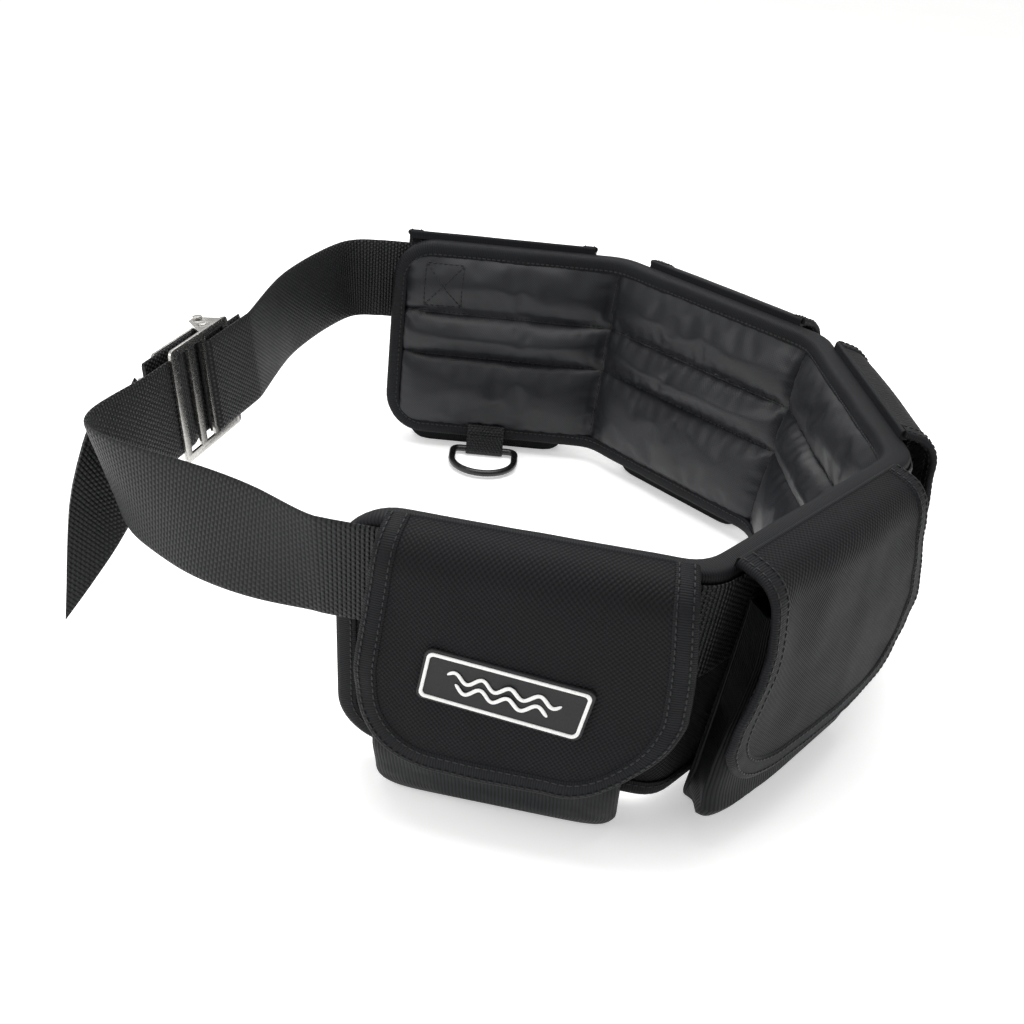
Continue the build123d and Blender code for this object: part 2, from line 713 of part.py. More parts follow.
def tail_spot(index):
    place, swing, drop, turn = TAIL_SECTIONS[index]
    return Vector(*buckle_spot(place, RETURN_N + swing, -drop))


def tail_frame(index):
    """Section plane of the tail: X across the webbing, Z along its run."""
    spot = tail_spot(index)
    back = tail_spot(max(index - 1, 0))
    ahead = tail_spot(min(index + 1, len(TAIL_SECTIONS) - 1))
    run = (ahead - back).normalized()
    if index == 0:
        run = Vector(-BUCKLE_U[0], -BUCKLE_U[1], 0)
    turn = FLARE + radians(TAIL_SECTIONS[index][3])
    across = Vector(BUCKLE_N[0] * sin(turn), BUCKLE_N[1] * sin(turn), cos(turn))
    across = (across - run * across.dot(run)).normalized()
    return Plane(origin=spot, x_dir=across, z_dir=run)


with BuildPart() as belt_tail:
    for index in range(len(TAIL_SECTIONS)):
        with BuildSketch(tail_frame(index)):
            Rectangle(WEB_WIDTH, WEB_THICKNESS)
    loft()
    short = tail_frame(2).from_local_coords((WEB_WIDTH / 2, 0, 0.0))
    long = tail_frame(5).from_local_coords((-WEB_WIDTH / 2, 0, -0.5))
    edge = (long - short).normalized()
    normal = tail_frame(4).y_dir.cross(edge).normalized()
    cut = Plane(origin=short, x_dir=edge, z_dir=normal if normal.dot(tail_frame(4).z_dir) > 0 else -normal)
    with BuildSketch(cut):
        Rectangle(260, 160)
    extrude(amount=120, mode=Mode.SUBTRACT)
finish(belt_tail, "belt_tail")


# ---------------------------------------------------------------- D-ring and keeper
RING_SHIFT = 0.0
RING_Z = RING_WIRE / 2 + 0.3 + 1.1 + 0.2
RING_DEPTH = -(RING_WIRE / 2 + 0.3 + 1.1 + BINDING + 0.4)


def ring_plane():
    """X along the segment, Y inward, Z up, at the straight bar of the ring."""
    x, y = segment_middle(4)
    u, v = outward(HEADINGS[4])
    c, s = along(HEADINGS[4])
    reach = RING_DEPTH + RING_Z * LEAN
    origin = (x + u * reach + c * RING_SHIFT, y + v * reach + s * RING_SHIFT, RING_Z)
    return Plane(origin=origin, x_dir=(c, s, 0), z_dir=(0, 0, 1))


with BuildPart() as d_ring:
    with BuildLine(ring_plane()) as d_path:
        half = RING_WIDTH / 2
        leg = RING_REACH - half
        bar = Line((-half, 0), (half, 0))
        Line((half, 0), (half, leg))
        ThreePointArc((half, leg), (0, RING_REACH), (-half, leg))
        Line((-half, leg), (-half, 0))
        fillet(d_path.vertices().group_by(Axis((0, 0, 0), (*outward(HEADINGS[4]), 0)))[-1], 4.5)
    start = ring_plane()
    with BuildSketch(Plane(origin=start.origin, x_dir=(0, 0, 1), z_dir=start.x_dir)):
        Circle(RING_WIRE / 2)
    sweep(path=d_path.wires()[0])
finish(d_ring, "d_ring")

with BuildPart() as ring_keeper:
    bar_n = RING_DEPTH + RING_Z * LEAN
    hole = RING_WIRE / 2 + 0.3
    keeper_near = -BINDING - 0.3 - 2.2
    keeper_top = PAD_BOTTOM + KEEPER_HEIGHT
    with BuildSketch(profile_plane(4)) as shape:
        with Locations((bar_n, RING_Z)):
            Circle(hole + 1.1)
        with BuildLine():
            Polyline(
                (bar_n - 0.4, RING_Z + hole),
                (bar_n + hole + 1.1, RING_Z),
                lean(-BINDING - 0.3, PAD_BOTTOM + 2),
                lean(-BINDING - 0.3, keeper_top),
                lean(keeper_near, keeper_top),
                lean(keeper_near, PAD_BOTTOM + 4),
                close=True,
            )
        make_face()
        with Locations((bar_n, RING_Z)):
            Circle(hole, mode=Mode.SUBTRACT)
    extrude(amount=KEEPER_WIDTH / 2, both=True)
finish(ring_keeper, "ring_keeper")
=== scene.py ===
"""Five-pocket padded dive weight belt: fabric, webbing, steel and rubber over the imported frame.

Shapes are worked out in millimetres in the belt's own frame and put into meshes in metres.
Heights run up from the floor, depths run outward from the inner face of the pad.
"""

import bmesh
import bpy
import numpy as np
from math import cos, pi, radians, sin, sqrt, tan
from mathutils import Matrix, Vector


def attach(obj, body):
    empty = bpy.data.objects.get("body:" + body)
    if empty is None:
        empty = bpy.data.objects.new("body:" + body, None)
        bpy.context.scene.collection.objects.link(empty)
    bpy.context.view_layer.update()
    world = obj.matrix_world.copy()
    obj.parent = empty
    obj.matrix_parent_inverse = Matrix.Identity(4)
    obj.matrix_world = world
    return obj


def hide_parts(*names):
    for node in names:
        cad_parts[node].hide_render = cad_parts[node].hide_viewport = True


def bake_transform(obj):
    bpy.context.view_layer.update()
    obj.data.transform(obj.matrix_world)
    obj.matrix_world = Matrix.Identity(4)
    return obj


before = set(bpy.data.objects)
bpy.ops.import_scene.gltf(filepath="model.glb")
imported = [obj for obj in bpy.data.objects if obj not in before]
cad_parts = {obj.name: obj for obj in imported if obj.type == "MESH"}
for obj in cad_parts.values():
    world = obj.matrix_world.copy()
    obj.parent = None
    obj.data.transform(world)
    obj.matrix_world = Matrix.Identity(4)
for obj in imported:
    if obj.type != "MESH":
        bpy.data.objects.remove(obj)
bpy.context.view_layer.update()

bl_info = {
    "name": "Dive weight belt",
    "version": (1, 0, 0),
    "blender": (4, 5, 0),
    "location": "View3D > Sidebar > Belt",
    "description": "Builds the looks of a padded weight belt round its packed frame",
    "category": "Object",
}

MM = 0.001
UV_MM = 100.0                 # one UV unit is this many millimetres

# ---------------------------------------------------------------- sizes shared with the frame
SEGMENT = 140.0
LENGTH = 5 * SEGMENT
PAD_BOTTOM, PAD_TOP = 10.0, 138.0
CORNER = 26.0
FLARE = radians(8.0)
LEAN = tan(FLARE)
HEADINGS = np.array([-9.0, 51.5, 95.5, 134.0, 180.5])
FRONT_LEFT = np.array([-67.635, -153.1])
TAPE_COVER = 9.0
STRIP_INSET = 2.4             # lining and shell end this far inside the strip's outline
HALF_WEB, WEB_THICKNESS = 25.0, 2.0
WEB_MIDDLE, WEB_DEPTH = 108.0, 12.3
WEB_ACROSS = np.r_[-HALF_WEB, -24.6, -23.5, np.linspace(-21, 21, 9), 23.5, 24.6, HALF_WEB]
FRONT_SLACK, FRONT_TIP = 2.3, 1.3
POCKET_WIDTH, POCKET_BASE, POCKET_THROAT = 108.0, 28.0, 14.0
POCKET_RISE, POCKET_TOP, POCKET_FOOT, POCKET_WALL = 22.0, 112.0, 11.9, 1.8
BACK_NEAR = 13.6
SHIFTS = (8.0, -6.0, 0.0, 0.0, 0.0)
FLAP_MIDDLE, FLAP_LOW, FLAP_CORNER = 4.7, 34.0, 38.0
ROOT_RADIUS = 1.5             # half round of tape about a flap's hinge line
PILE = np.meshgrid(np.linspace(-44, 44, 45), np.linspace(50, 86, 19), indexing="ij")
BADGE_LENGTH, BADGE_HEIGHT = 68, 24
WIRE_RADIUS = 2.25            # D-ring wire
HINGE = (11.0 + PAD_TOP * LEAN, 140.3)
SOFT_CORNER = 8.0             # half length over which the pad turns at a seam
ROWS = (93.2, 65.0)           # heights of the two quilting seams
CLOTH_FRAMES = 16             # steps of the lining's simulation
CLOTH_LIMIT = 0.0022          # metres that a point of the lining may move in it

BUCKLE_HEADING = 77.0
BUCKLE_U = np.array([cos(radians(BUCKLE_HEADING)), sin(radians(BUCKLE_HEADING))])
BUCKLE_N = np.array([-BUCKLE_U[1], BUCKLE_U[0]])
BUCKLE_FRONT = FRONT_LEFT + np.array([-92.0, 110.0])
# Levels of the webbing's passes through the buckle, and places along it.
FIXED_N, FREE_N, UNDER_N, SLOT_END = 1.1, 3.35, -2.8, 32.5
TURN, BAR_U, BAR_N, RETURN_N, EXIT_U = 1.95, 50.0, 6.95, 10.55, -7.0


# ---------------------------------------------------------------- plan of the belt
def along(heading):
    return np.array([cos(radians(heading)), sin(radians(heading))])


def outward(heading):
    return np.array([sin(radians(heading)), -cos(radians(heading))])


def plan():
    """Seam corners as a running sum of segment vectors, and at each the mitred outward vector:
    the outward vector of the mean heading over the cosine of half the turn."""
    steps = np.array([along(h) * SEGMENT for h in HEADINGS])
    seams = np.vstack([FRONT_LEFT, FRONT_LEFT + np.cumsum(steps, axis=0)])
    spreads = [outward(HEADINGS[0])]
    for before, after in zip(HEADINGS, HEADINGS[1:]):
        spreads.append(outward((before + after) / 2) / cos(radians(after - before) / 2))
    return seams, np.array(spreads + [outward(HEADINGS[-1])])


SEAMS, SPREADS = plan()


def pad_point(x, z, depth):
    """Point of the pad: x along the strip, z up, depth outward. Each segment is the straight
    run between its two mitred seam corners, and the mean of seven points taken round x
    turns the corner softly."""
    x, z, depth = np.broadcast_arrays(*(np.asarray(v, float) for v in (x, z, depth)))
    total = np.zeros(x.shape + (2,))
    for shift in np.linspace(-SOFT_CORNER, SOFT_CORNER, 7):
        index = np.clip(np.floor((x + shift) / SEGMENT), 0, 4).astype(int)
        share = ((x + shift) / SEGMENT - index)[..., None]
        reach = (depth + z * LEAN)[..., None]
        total += (SEAMS[index] + SPREADS[index] * reach) * (1 - share)
        total += (SEAMS[index + 1] + SPREADS[index + 1] * reach) * share
    return np.concatenate([total / 7, z[..., None]], axis=-1)


def place(index, x, n, z):
    """Point of one segment's own box: x along it from its middle, n outward, z up."""
    x, n, z = np.broadcast_arrays(*(np.asarray(v, float) for v in (x, n, z)))
    middle = (SEAMS[index] + SEAMS[index + 1]) / 2
    flat = middle + x[..., None] * along(HEADINGS[index]) + n[..., None] * outward(HEADINGS[index])
    return np.concatenate([flat, z[..., None]], axis=-1)


def front_reach(z):
    """Outward place of the front panel: its depth falls in a straight line with height."""
    share = (z - POCKET_RISE) / (POCKET_TOP - POCKET_RISE)
    return BACK_NEAR + POCKET_BASE + (POCKET_THROAT - POCKET_BASE) * share + z * LEAN


def buckle_spot(u, n, w=0.0):
    """Point of the leaning buckle: u along the belt, n outward, w across."""
    flat = n * cos(FLARE) + w * sin(FLARE)
    spot = BUCKLE_FRONT + WEB_MIDDLE * LEAN * BUCKLE_N + u * BUCKLE_U + flat * BUCKLE_N
    return np.array([*spot, WEB_MIDDLE + w * cos(FLARE) - n * sin(FLARE)])


def ripple(seed, size, *where):
    """Smooth noise: a sum of twelve sines with seeded directions and phases, in three
    sizes, each half the length and half the height of the one before."""
    rng = np.random.default_rng(seed)
    total = 0.0
    for octave in range(3):
        for _ in range(4):
            way = rng.normal(size=len(where))
            way *= 2 * pi * 2 ** octave / size / np.linalg.norm(way)
            line = sum(w * c for w, c in zip(way, where)) + rng.uniform(0, 2 * pi)
            total = total + np.sin(line) * 0.5 ** octave
    return total / 3.5


def ease(value):
    """Smooth step from 0 to 1."""
    value = np.clip(value, 0, 1)
    return value * value * (3 - 2 * value)


# ---------------------------------------------------------------- meshes
def unit(vectors):
    return vectors / np.maximum(np.linalg.norm(vectors, axis=-1, keepdims=True), 1e-9)


def grid_normals(grid):
    """Cross product of the two parameter directions of a grid."""
    return unit(np.cross(np.gradient(grid, axis=0), np.gradient(grid, axis=1)))


def build(name, points, faces, uv=None, sharp=38.0):
    """Mesh object from points in millimetres. The faces are turned over together if the
    signed volume, the sum of corner triple products, comes out negative."""
    points = np.asarray(points, float).reshape(-1, 3)
    mesh = bpy.data.meshes.new(name)
    mesh.from_pydata((points * MM).tolist(), [], faces)
    mesh.update()
    work = bmesh.new()
    work.from_mesh(mesh)
    if work.calc_volume(signed=True) < 0:
        bmesh.ops.reverse_faces(work, faces=work.faces)
    work.to_mesh(mesh)
    work.free()
    if uv is not None:
        corner = np.zeros(len(mesh.loops), np.int32)
        mesh.loops.foreach_get("vertex_index", corner)
        layer = mesh.uv_layers.new(name="UVMap")
        flat = (np.asarray(uv, float).reshape(-1, 2) / UV_MM)[corner]
        layer.data.foreach_set("uv", flat.astype(np.float32).ravel())
    mesh.polygons.foreach_set("use_smooth", np.ones(len(mesh.polygons), bool))
    mesh.set_sharp_from_angle(angle=radians(sharp))
    made = bpy.data.objects.new(name, mesh)
    bpy.context.scene.collection.objects.link(made)
    return made


def cells(index):
    """Quads of a grid of point numbers."""
    corners = (index[:-1, :-1], index[1:, :-1], index[1:, 1:], index[:-1, 1:])
    return np.stack(corners, -1).reshape(-1, 4)


def wall(edge, count):
    """Quads that join a border of the first grid to the same border of the second."""
    return np.stack([edge[:-1], edge[1:], edge[1:] + count, edge[:-1] + count], -1)


def slab(name, outer, inner, uv, wrap=False, floor=False):
    """Closed solid between two grids of the same shape, joined round their borders.
    wrap joins the last column to the first; floor closes the first row with a polygon."""
    rows, columns = outer.shape[:2]
    count = rows * columns
    index = np.arange(count).reshape(rows, columns)
    if wrap:
        index = np.hstack([index, index[:, :1]])
    quads = cells(index)
    parts = [quads, quads[:, ::-1] + count, wall(index[-1][::-1], count)]
    if not floor:
        parts.append(wall(index[0], count))
    if not wrap:
        parts += [wall(index[::-1, 0], count), wall(index[:, -1], count)]
    faces = np.vstack(parts).tolist()
    if floor:
        ring = np.arange(columns)
        faces += [ring.tolist(), (ring[::-1] + count).tolist()]
    points = np.vstack([outer.reshape(-1, 3), inner.reshape(-1, 3)])
    return build(name, points, faces, np.vstack([uv.reshape(-1, 2)] * 2))


def loft(name, rings, uv=None, loop=False, sharp=38.0):
    """Tube through closed rings of equal count, ended by polygons or joined into a loop."""
    rows, columns = rings.shape[:2]
    index = np.arange(rows * columns).reshape(rows, columns)
    index = np.hstack([index, index[:, :1]])
    if loop:
        index = np.vstack([index, index[:1]])
    faces = cells(index).tolist()
    if not loop:
        ring = np.arange(columns)
        faces += [ring[::-1].tolist(), (ring + (rows - 1) * columns).tolist()]
    return build(name, rings.reshape(-1, 3), faces, uv, sharp)


def ring_uv(rings):
    """Length along a tube and length round it, in millimetres."""
    return np.stack(np.meshgrid(lengths(rings[:, 0]), lengths(rings[0]), indexing="ij"), -1)


def lengths(path):
    return np.r_[0, np.cumsum(np.linalg.norm(np.diff(path, axis=0), axis=-1))]


def sample(at, travel, path):
    """Points of a path at given lengths along it."""
    return np.stack([np.interp(at, travel, column) for column in path.T], -1)


def ring_normal(path):
    """Direction along a path and the direction square to it, in the plane."""
    way = unit(np.gradient(path, axis=0))
    return way, np.stack([-way[:, 1], way[:, 0]], -1)


def stitch_mesh(runs, pitch, thick):
    """Rows of thread: along each path a short six-sided bead is repeated every pitch, its
    ends drawn in. Gives points and faces, so that many rows make one piece."""
    turn = np.arange(6) * pi / 3
    stops = ((-0.36, 0.35), (-0.24, 1.0), (0.24, 1.0), (0.36, 0.35))
    ring = [(t * pitch, r * thick * cos(a), r * thick * 0.7 * sin(a))
            for t, r in stops for a in turn]
    bead = np.array(ring)
    index = np.arange(24).reshape(4, 6)
    faces = cells(np.hstack([index, index[:, :1]])).tolist()
    faces += [[5, 4, 3, 2, 1, 0], [18, 19, 20, 21, 22, 23]]
    points, shapes, start = [], [], 0
    for path, up in runs:
        travel = lengths(path)
        count = max(int(travel[-1] / pitch), 1)
        at = (np.arange(count) + 0.5) * travel[-1] / count
        spot = sample(at, travel, path)
        rise = unit(sample(at, travel, up))
        way = unit(sample(at + 0.6, travel, path) - sample(at - 0.6, travel, path))
        side = unit(np.cross(rise, way))
        placed = (spot[:, None] + way[:, None] * bead[:, :1] + side[:, None] * bead[:, 1:2]
                  + rise[:, None] * bead[:, 2:])
        points.append(placed.reshape(-1, 3))
        shapes += [[v + start + 24 * k for v in f] for k in range(count) for f in faces]
        start += 24 * count
    return np.vstack(points), shapes


def settle(made, body, slot, material, *nodes):
    """Gives a piece its material and its body, and hides the frame nodes that it stands for."""
    made.data.materials.clear()
    made.data.materials.append(material)
    if body:
        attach(made, body)
    if nodes:
        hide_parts(*nodes)
    return made


def sew(name, runs, body, slot="binding_tape", pitch=3.2, thick=0.42):
    points, faces = stitch_mesh(runs, pitch, thick)
    return settle(build(name, points, faces, sharp=80.0), body, slot, thread())


# ---------------------------------------------------------------- materials
def linear(code):
    """Linear colour from an sRGB hex value."""
    values = [int(code[k:k + 2], 16) / 255 for k in (1, 3, 5)]
    return (*[v / 12.92 if v <= 0.04045 else ((v + 0.055) / 1.055) ** 2.4 for v in values], 1.0)


def node(tree, kind, inputs=None, **settings):
    """Adds one node; an input is a value or the output socket that feeds it."""
    made = tree.nodes.new(kind)
    for key, value in settings.items():
        setattr(made, key, value)
    for key, value in (inputs or {}).items():
        if isinstance(value, bpy.types.NodeSocket):
            tree.links.new(value, made.inputs[key])
        else:
            made.inputs[key].default_value = value
    return made


def blank(name):
    """Empty node material with its node tree, or None and the material if it is made already."""
    if name in bpy.data.materials:
        return bpy.data.materials[name], None
    made = bpy.data.materials.new(name)
    made.use_nodes = True
    made.node_tree.nodes.clear()
    return made, made.node_tree


def cloth(name, weave, pitch, dark, light, relief, rough, sheen,
          gloss=0.2, fold=0.0, fold_size=18.0):
    """Cloth whose thread height is a product of sines of the piece's own lengths.

    weave "plain" crosses two sines, "cord" repeats one across the length, and "bead" cuts
    each cross rib into beads that step by half a bead from rib to rib.
    """
    made, tree = blank(name)
    if tree is None:
        return made
    place_at = node(tree, "ShaderNodeUVMap")
    spread = node(tree, "ShaderNodeVectorMath",
                  {0: place_at.outputs[0], "Scale": UV_MM * pi / pitch}, operation="SCALE")
    axes = node(tree, "ShaderNodeSeparateXYZ", {0: spread.outputs[0]})
    first = node(tree, "ShaderNodeMath", {0: axes.outputs[0]}, operation="SINE")
    if weave == "plain":
        second = node(tree, "ShaderNodeMath", {0: axes.outputs[1]}, operation="SINE")
        crossed = node(tree, "ShaderNodeMath", {0: first.outputs[0], 1: second.outputs[0]},
                       operation="MULTIPLY")
        height = node(tree, "ShaderNodeMath", {0: crossed.outputs[0], 1: 0.5, 2: 0.5},
                      operation="MULTIPLY_ADD")
    elif weave == "cord":
        height = node(tree, "ShaderNodeMath", {0: first.outputs[0]}, operation="ABSOLUTE")
    else:
        rib = node(tree, "ShaderNodeMath", {0: first.outputs[0]}, operation="ABSOLUTE")
        step = node(tree, "ShaderNodeMath", {0: first.outputs[0]}, operation="SIGN")
        across = node(tree, "ShaderNodeMath", {0: axes.outputs[1], 1: 1.6, 2: 0.0},
                      operation="MULTIPLY_ADD")
        wave = node(tree, "ShaderNodeMath", {0: across.outputs[0]}, operation="SINE")
        stepped = node(tree, "ShaderNodeMath", {0: wave.outputs[0], 1: step.outputs[0]},
                       operation="MULTIPLY")
        bead = node(tree, "ShaderNodeMath", {0: stepped.outputs[0], 1: 0.38, 2: 0.62},
                    operation="MULTIPLY_ADD")
        height = node(tree, "ShaderNodeMath", {0: rib.outputs[0], 1: bead.outputs[0]},
                      operation="MULTIPLY")
    where = node(tree, "ShaderNodeTexCoord")
    cloudy = node(tree, "ShaderNodeTexNoise",
                  {"Vector": where.outputs["Object"], "Scale": 1000 / 60, "Detail": 3.0})
    folds = node(tree, "ShaderNodeTexNoise",
                 {"Vector": where.outputs["Object"], "Scale": 1000 / fold_size, "Detail": 2.0})
    # The colour is painted shade and painted highlight: thread height times a cloudy random tone
    # runs the ramp from dark in the grooves between threads to light on their crests.
    shade = node(tree, "ShaderNodeMath", {0: height.outputs[0], 1: cloudy.outputs["Fac"]},
                 operation="MULTIPLY")
    ramp = node(tree, "ShaderNodeValToRGB", {0: shade.outputs[0]})
    ramp.color_ramp.elements[0].position = 0.05
    ramp.color_ramp.elements[0].color = linear(dark)
    ramp.color_ramp.elements[1].position = 0.62
    ramp.color_ramp.elements[1].color = linear(light)
    uneven = node(tree, "ShaderNodeMapRange",
                  {0: cloudy.outputs["Fac"], 1: 0.3, 2: 0.7, 3: rough - 0.05, 4: rough + 0.06})
    soft = node(tree, "ShaderNodeBump",
                {"Height": folds.outputs["Fac"], "Strength": 1.0, "Distance": fold * MM})
    fine = node(tree, "ShaderNodeBump",
                {"Height": height.outputs[0], "Strength": 1.0, "Distance": relief * MM,
                 "Normal": soft.outputs[0]})
    shader = node(tree, "ShaderNodeBsdfPrincipled",
                  {"Base Color": ramp.outputs[0], "Roughness": uneven.outputs[0],
                   "Normal": fine.outputs[0], "Specular IOR Level": gloss,
                   "Sheen Weight": sheen, "Sheen Roughness": 0.4})
    node(tree, "ShaderNodeOutputMaterial", {0: shader.outputs[0]})
    return made


def solid_finish(name, dark, light, rough, metal=0.0, grain=(900.0, 900.0, 900.0), relief=0.02,
                 spread=0.06, gloss=0.5, coat=0.0):
    """Rubber, coating or metal: a fine grain stretched along one axis varies the colour,
    the roughness and the height."""
    made, tree = blank(name)
    if tree is None:
        return made
    where = node(tree, "ShaderNodeTexCoord")
    turned_to = node(tree, "ShaderNodeMapping",
                     {"Vector": where.outputs["Object"], "Scale": grain,
                      "Rotation": (0, 0, -radians(BUCKLE_HEADING))})
    fine = node(tree, "ShaderNodeTexNoise",
                {"Vector": turned_to.outputs[0], "Scale": 1.0, "Detail": 3.0})
    broad = node(tree, "ShaderNodeTexNoise", {"Vector": where.outputs["Object"], "Scale": 90.0})
    faint = node(tree, "ShaderNodeMath", {0: broad.outputs["Fac"], 1: 0.15}, operation="MULTIPLY")
    half = node(tree, "ShaderNodeMath", {0: fine.outputs["Fac"], 1: 0.85, 2: faint.outputs[0]},
                operation="MULTIPLY_ADD")
    ramp = node(tree, "ShaderNodeValToRGB", {0: half.outputs[0]})
    ramp.color_ramp.elements[0].position = 0.3
    ramp.color_ramp.elements[0].color = linear(dark)
    ramp.color_ramp.elements[1].position = 0.7
    ramp.color_ramp.elements[1].color = linear(light)
    uneven = node(tree, "ShaderNodeMapRange",
                  {0: half.outputs[0], 1: 0.3, 2: 0.7, 3: rough - spread, 4: rough + spread})
    bump = node(tree, "ShaderNodeBump",
                {"Height": fine.outputs["Fac"], "Strength": 1.0, "Distance": relief * MM})
    shader = node(tree, "ShaderNodeBsdfPrincipled",
                  {"Base Color": ramp.outputs[0], "Roughness": uneven.outputs[0], "Metallic": metal,
                   "Normal": bump.outputs[0], "Specular IOR Level": gloss, "Coat Weight": coat})
    node(tree, "ShaderNodeOutputMaterial", {0: shader.outputs[0]})
    return made


def flap_nylon():
    """Heavy nylon in plain weave, thread drawn at 1.1 mm so that it shows: a matte, slightly
    pebbled black, with painted shade between the threads and a soft grey painted highlight on its
    crests."""
    look = bpy.context.scene.belt_looks
    return cloth("Plain-woven heavy nylon", "plain", look.nylon_pitch, "#0b0b0d", "#1d1d20",
                 0.34, 0.62, 0.02, gloss=0.12, fold=1.2, fold_size=34.0)


def lining_satin():
    """Nylon taffeta lining, thread drawn at 0.8 mm: smoother than the flaps, so the pillows
    carry a wide soft highlight."""
    return cloth("Taffeta nylon lining", "plain", 0.8, "#0c0d10", "#202126", 0.05, 0.4, 0.02,
                 gloss=0.34, fold=0.3, fold_size=26.0)


def webbing_weave():
    """Polypropylene belt webbing: cross ribs every 2 mm cut into beads, with painted shade
    between the ribs and a small dull painted highlight on each bead."""
    return cloth("Ribbed polypropylene webbing", "bead", 2.0, "#060607", "#222427", 0.75, 0.5, 0.0,
                 gloss=0.3)


def grosgrain():
    """Woven binding tape with ribs across it every 1.1 mm, flatter and darker than the cloth."""
    return cloth("Grosgrain binding tape", "cord", 1.1, "#0a0a0c", "#1a1b1e",
                 0.16, 0.6, 0.0, gloss=0.15)


def corded_cloth():
    """Corded pocket cloth, ribs every 1.6 mm down the pocket: a coarse dry texture."""
    return cloth("Corded pocket cloth", "cord", 1.6, "#080809", "#1f2123",
                 0.3, 0.6, 0.0, gloss=0.16, fold=1.0)


def hook_pile():
    """Moulded hooks drawn at 1.6 mm: a rough black with painted shade between the hooks and small
    dull painted highlights as glints.
    """
    return cloth("Hook tape pile", "bead", 1.6, "#050505", "#28282b", 0.8, 0.55, 0.0)


def loop_pile():
    """Brushed loops drawn at 1.2 mm: soft, furry and matte."""
    return cloth("Loop tape pile", "plain", 1.2, "#0c0c0e", "#2e2e32", 0.5, 0.85, 0.2)


def thread():
    """Bonded polyester thread: a dark round cord with a faint shine along each stitch."""
    return solid_finish("Bonded sewing thread", "#0b0c0e", "#191a1d", 0.5, relief=0.03, gloss=0.35)


def steel():
    """Stainless steel, brushed along the belt: grey streaks with bright soft edges."""
    return solid_finish("Brushed stainless steel", "#a19f9b", "#cfcdc9", 0.24, metal=1.0,
                        grain=(40.0, 900.0, 900.0), relief=0.004, spread=0.04)


def coated_wire():
    """Steel wire under black plastic coating: smooth, with a clear narrow highlight."""
    return solid_finish("Black coated wire", "#09090a", "#151517", 0.3, relief=0.01, gloss=0.5)


def soft_rubber():
    """Moulded soft PVC: even charcoal with a fine matte grain."""
    return solid_finish("Moulded soft rubber", "#121214", "#1e1e21", 0.5, relief=0.05, gloss=0.35)


def white_rubber():
    """Raised white soft PVC: bright and matte, slightly uneven."""
    return solid_finish("Raised white rubber", "#dededc", "#f0f0ee", 0.5, relief=0.03, gloss=0.35)


# ---------------------------------------------------------------- pad
def strip_heights(x, share, inset):
    """Height at a share of the strip's height, where rounded corners draw the ends in."""
    radius = CORNER - inset
    from_end = np.minimum(x, LENGTH - x) - inset
    short = radius - np.sqrt(np.maximum(radius ** 2 - np.maximum(radius - from_end, 0) ** 2, 0))
    low, high = PAD_BOTTOM + inset + short, PAD_TOP - inset - short
    return low + (high - low) * share


def strip_columns(inset, step):
    """Places along the strip, close together round the corners at its two ends."""
    radius = CORNER - inset
    end = inset + radius * (1 - np.cos(np.linspace(0, pi / 2, 12)))
    middle = np.linspace(CORNER, LENGTH - CORNER, int((LENGTH - 2 * CORNER) / step))
    return np.r_[end[:-1], middle, LENGTH - end[:-1][::-1]]


def quilt_depth(x, z, height):
    """Depth of the lining: pillows whose height grows as one less an exponential of the
    distance to the nearest seam, with small puckers that die out away from each seam."""
    across = np.abs(x / SEGMENT - np.round(x / SEGMENT)) * SEGMENT
    across = np.where((x < SEGMENT / 2) | (x > LENGTH - SEGMENT / 2),
                      np.minimum(across, np.minimum(x, LENGTH - x) - TAPE_COVER + 2), across)
    edge = np.minimum(z - PAD_BOTTOM, PAD_TOP - z) - TAPE_COVER + 2
    rows = np.minimum(np.abs(z - ROWS[0]), np.abs(z - ROWS[1]))
    level = np.minimum(rows, edge)
    across, level = np.maximum(across, 0), np.maximum(level, 0)
    puff = height * (1 - np.exp(-across / 11)) * (1 - np.exp(-level / 7.5)) * 1.2
    puff *= 1 + 0.1 * ripple(5, 60, x, z)
    pucker = np.sin(2 * pi * x / 8.5 + 2.2 * ripple(3, 30, x, z)) * np.exp(-rows / 4.5)
    pucker += 0.9 * np.sin(2 * pi * z / 8 + 2 * ripple(4, 30, x, z)) * np.exp(-across / 5)
    pucker *= 0.6 * (1 - np.exp(-level / 1.5)) * (1 - np.exp(-across / 1.5))
    creases = 0.12 * ripple(11, 40, x, z * 1.6) * (1 - np.exp(-level / 5))
    channel = 1.8 * np.exp(-(rows / 1.6) ** 2) + 1.8 * np.exp(-(across / 2.0) ** 2)
    band = 1 + 0.35 * ((z > ROWS[1]) & (z < ROWS[0]))
    return channel - puff * band - pucker - creases + 0.2


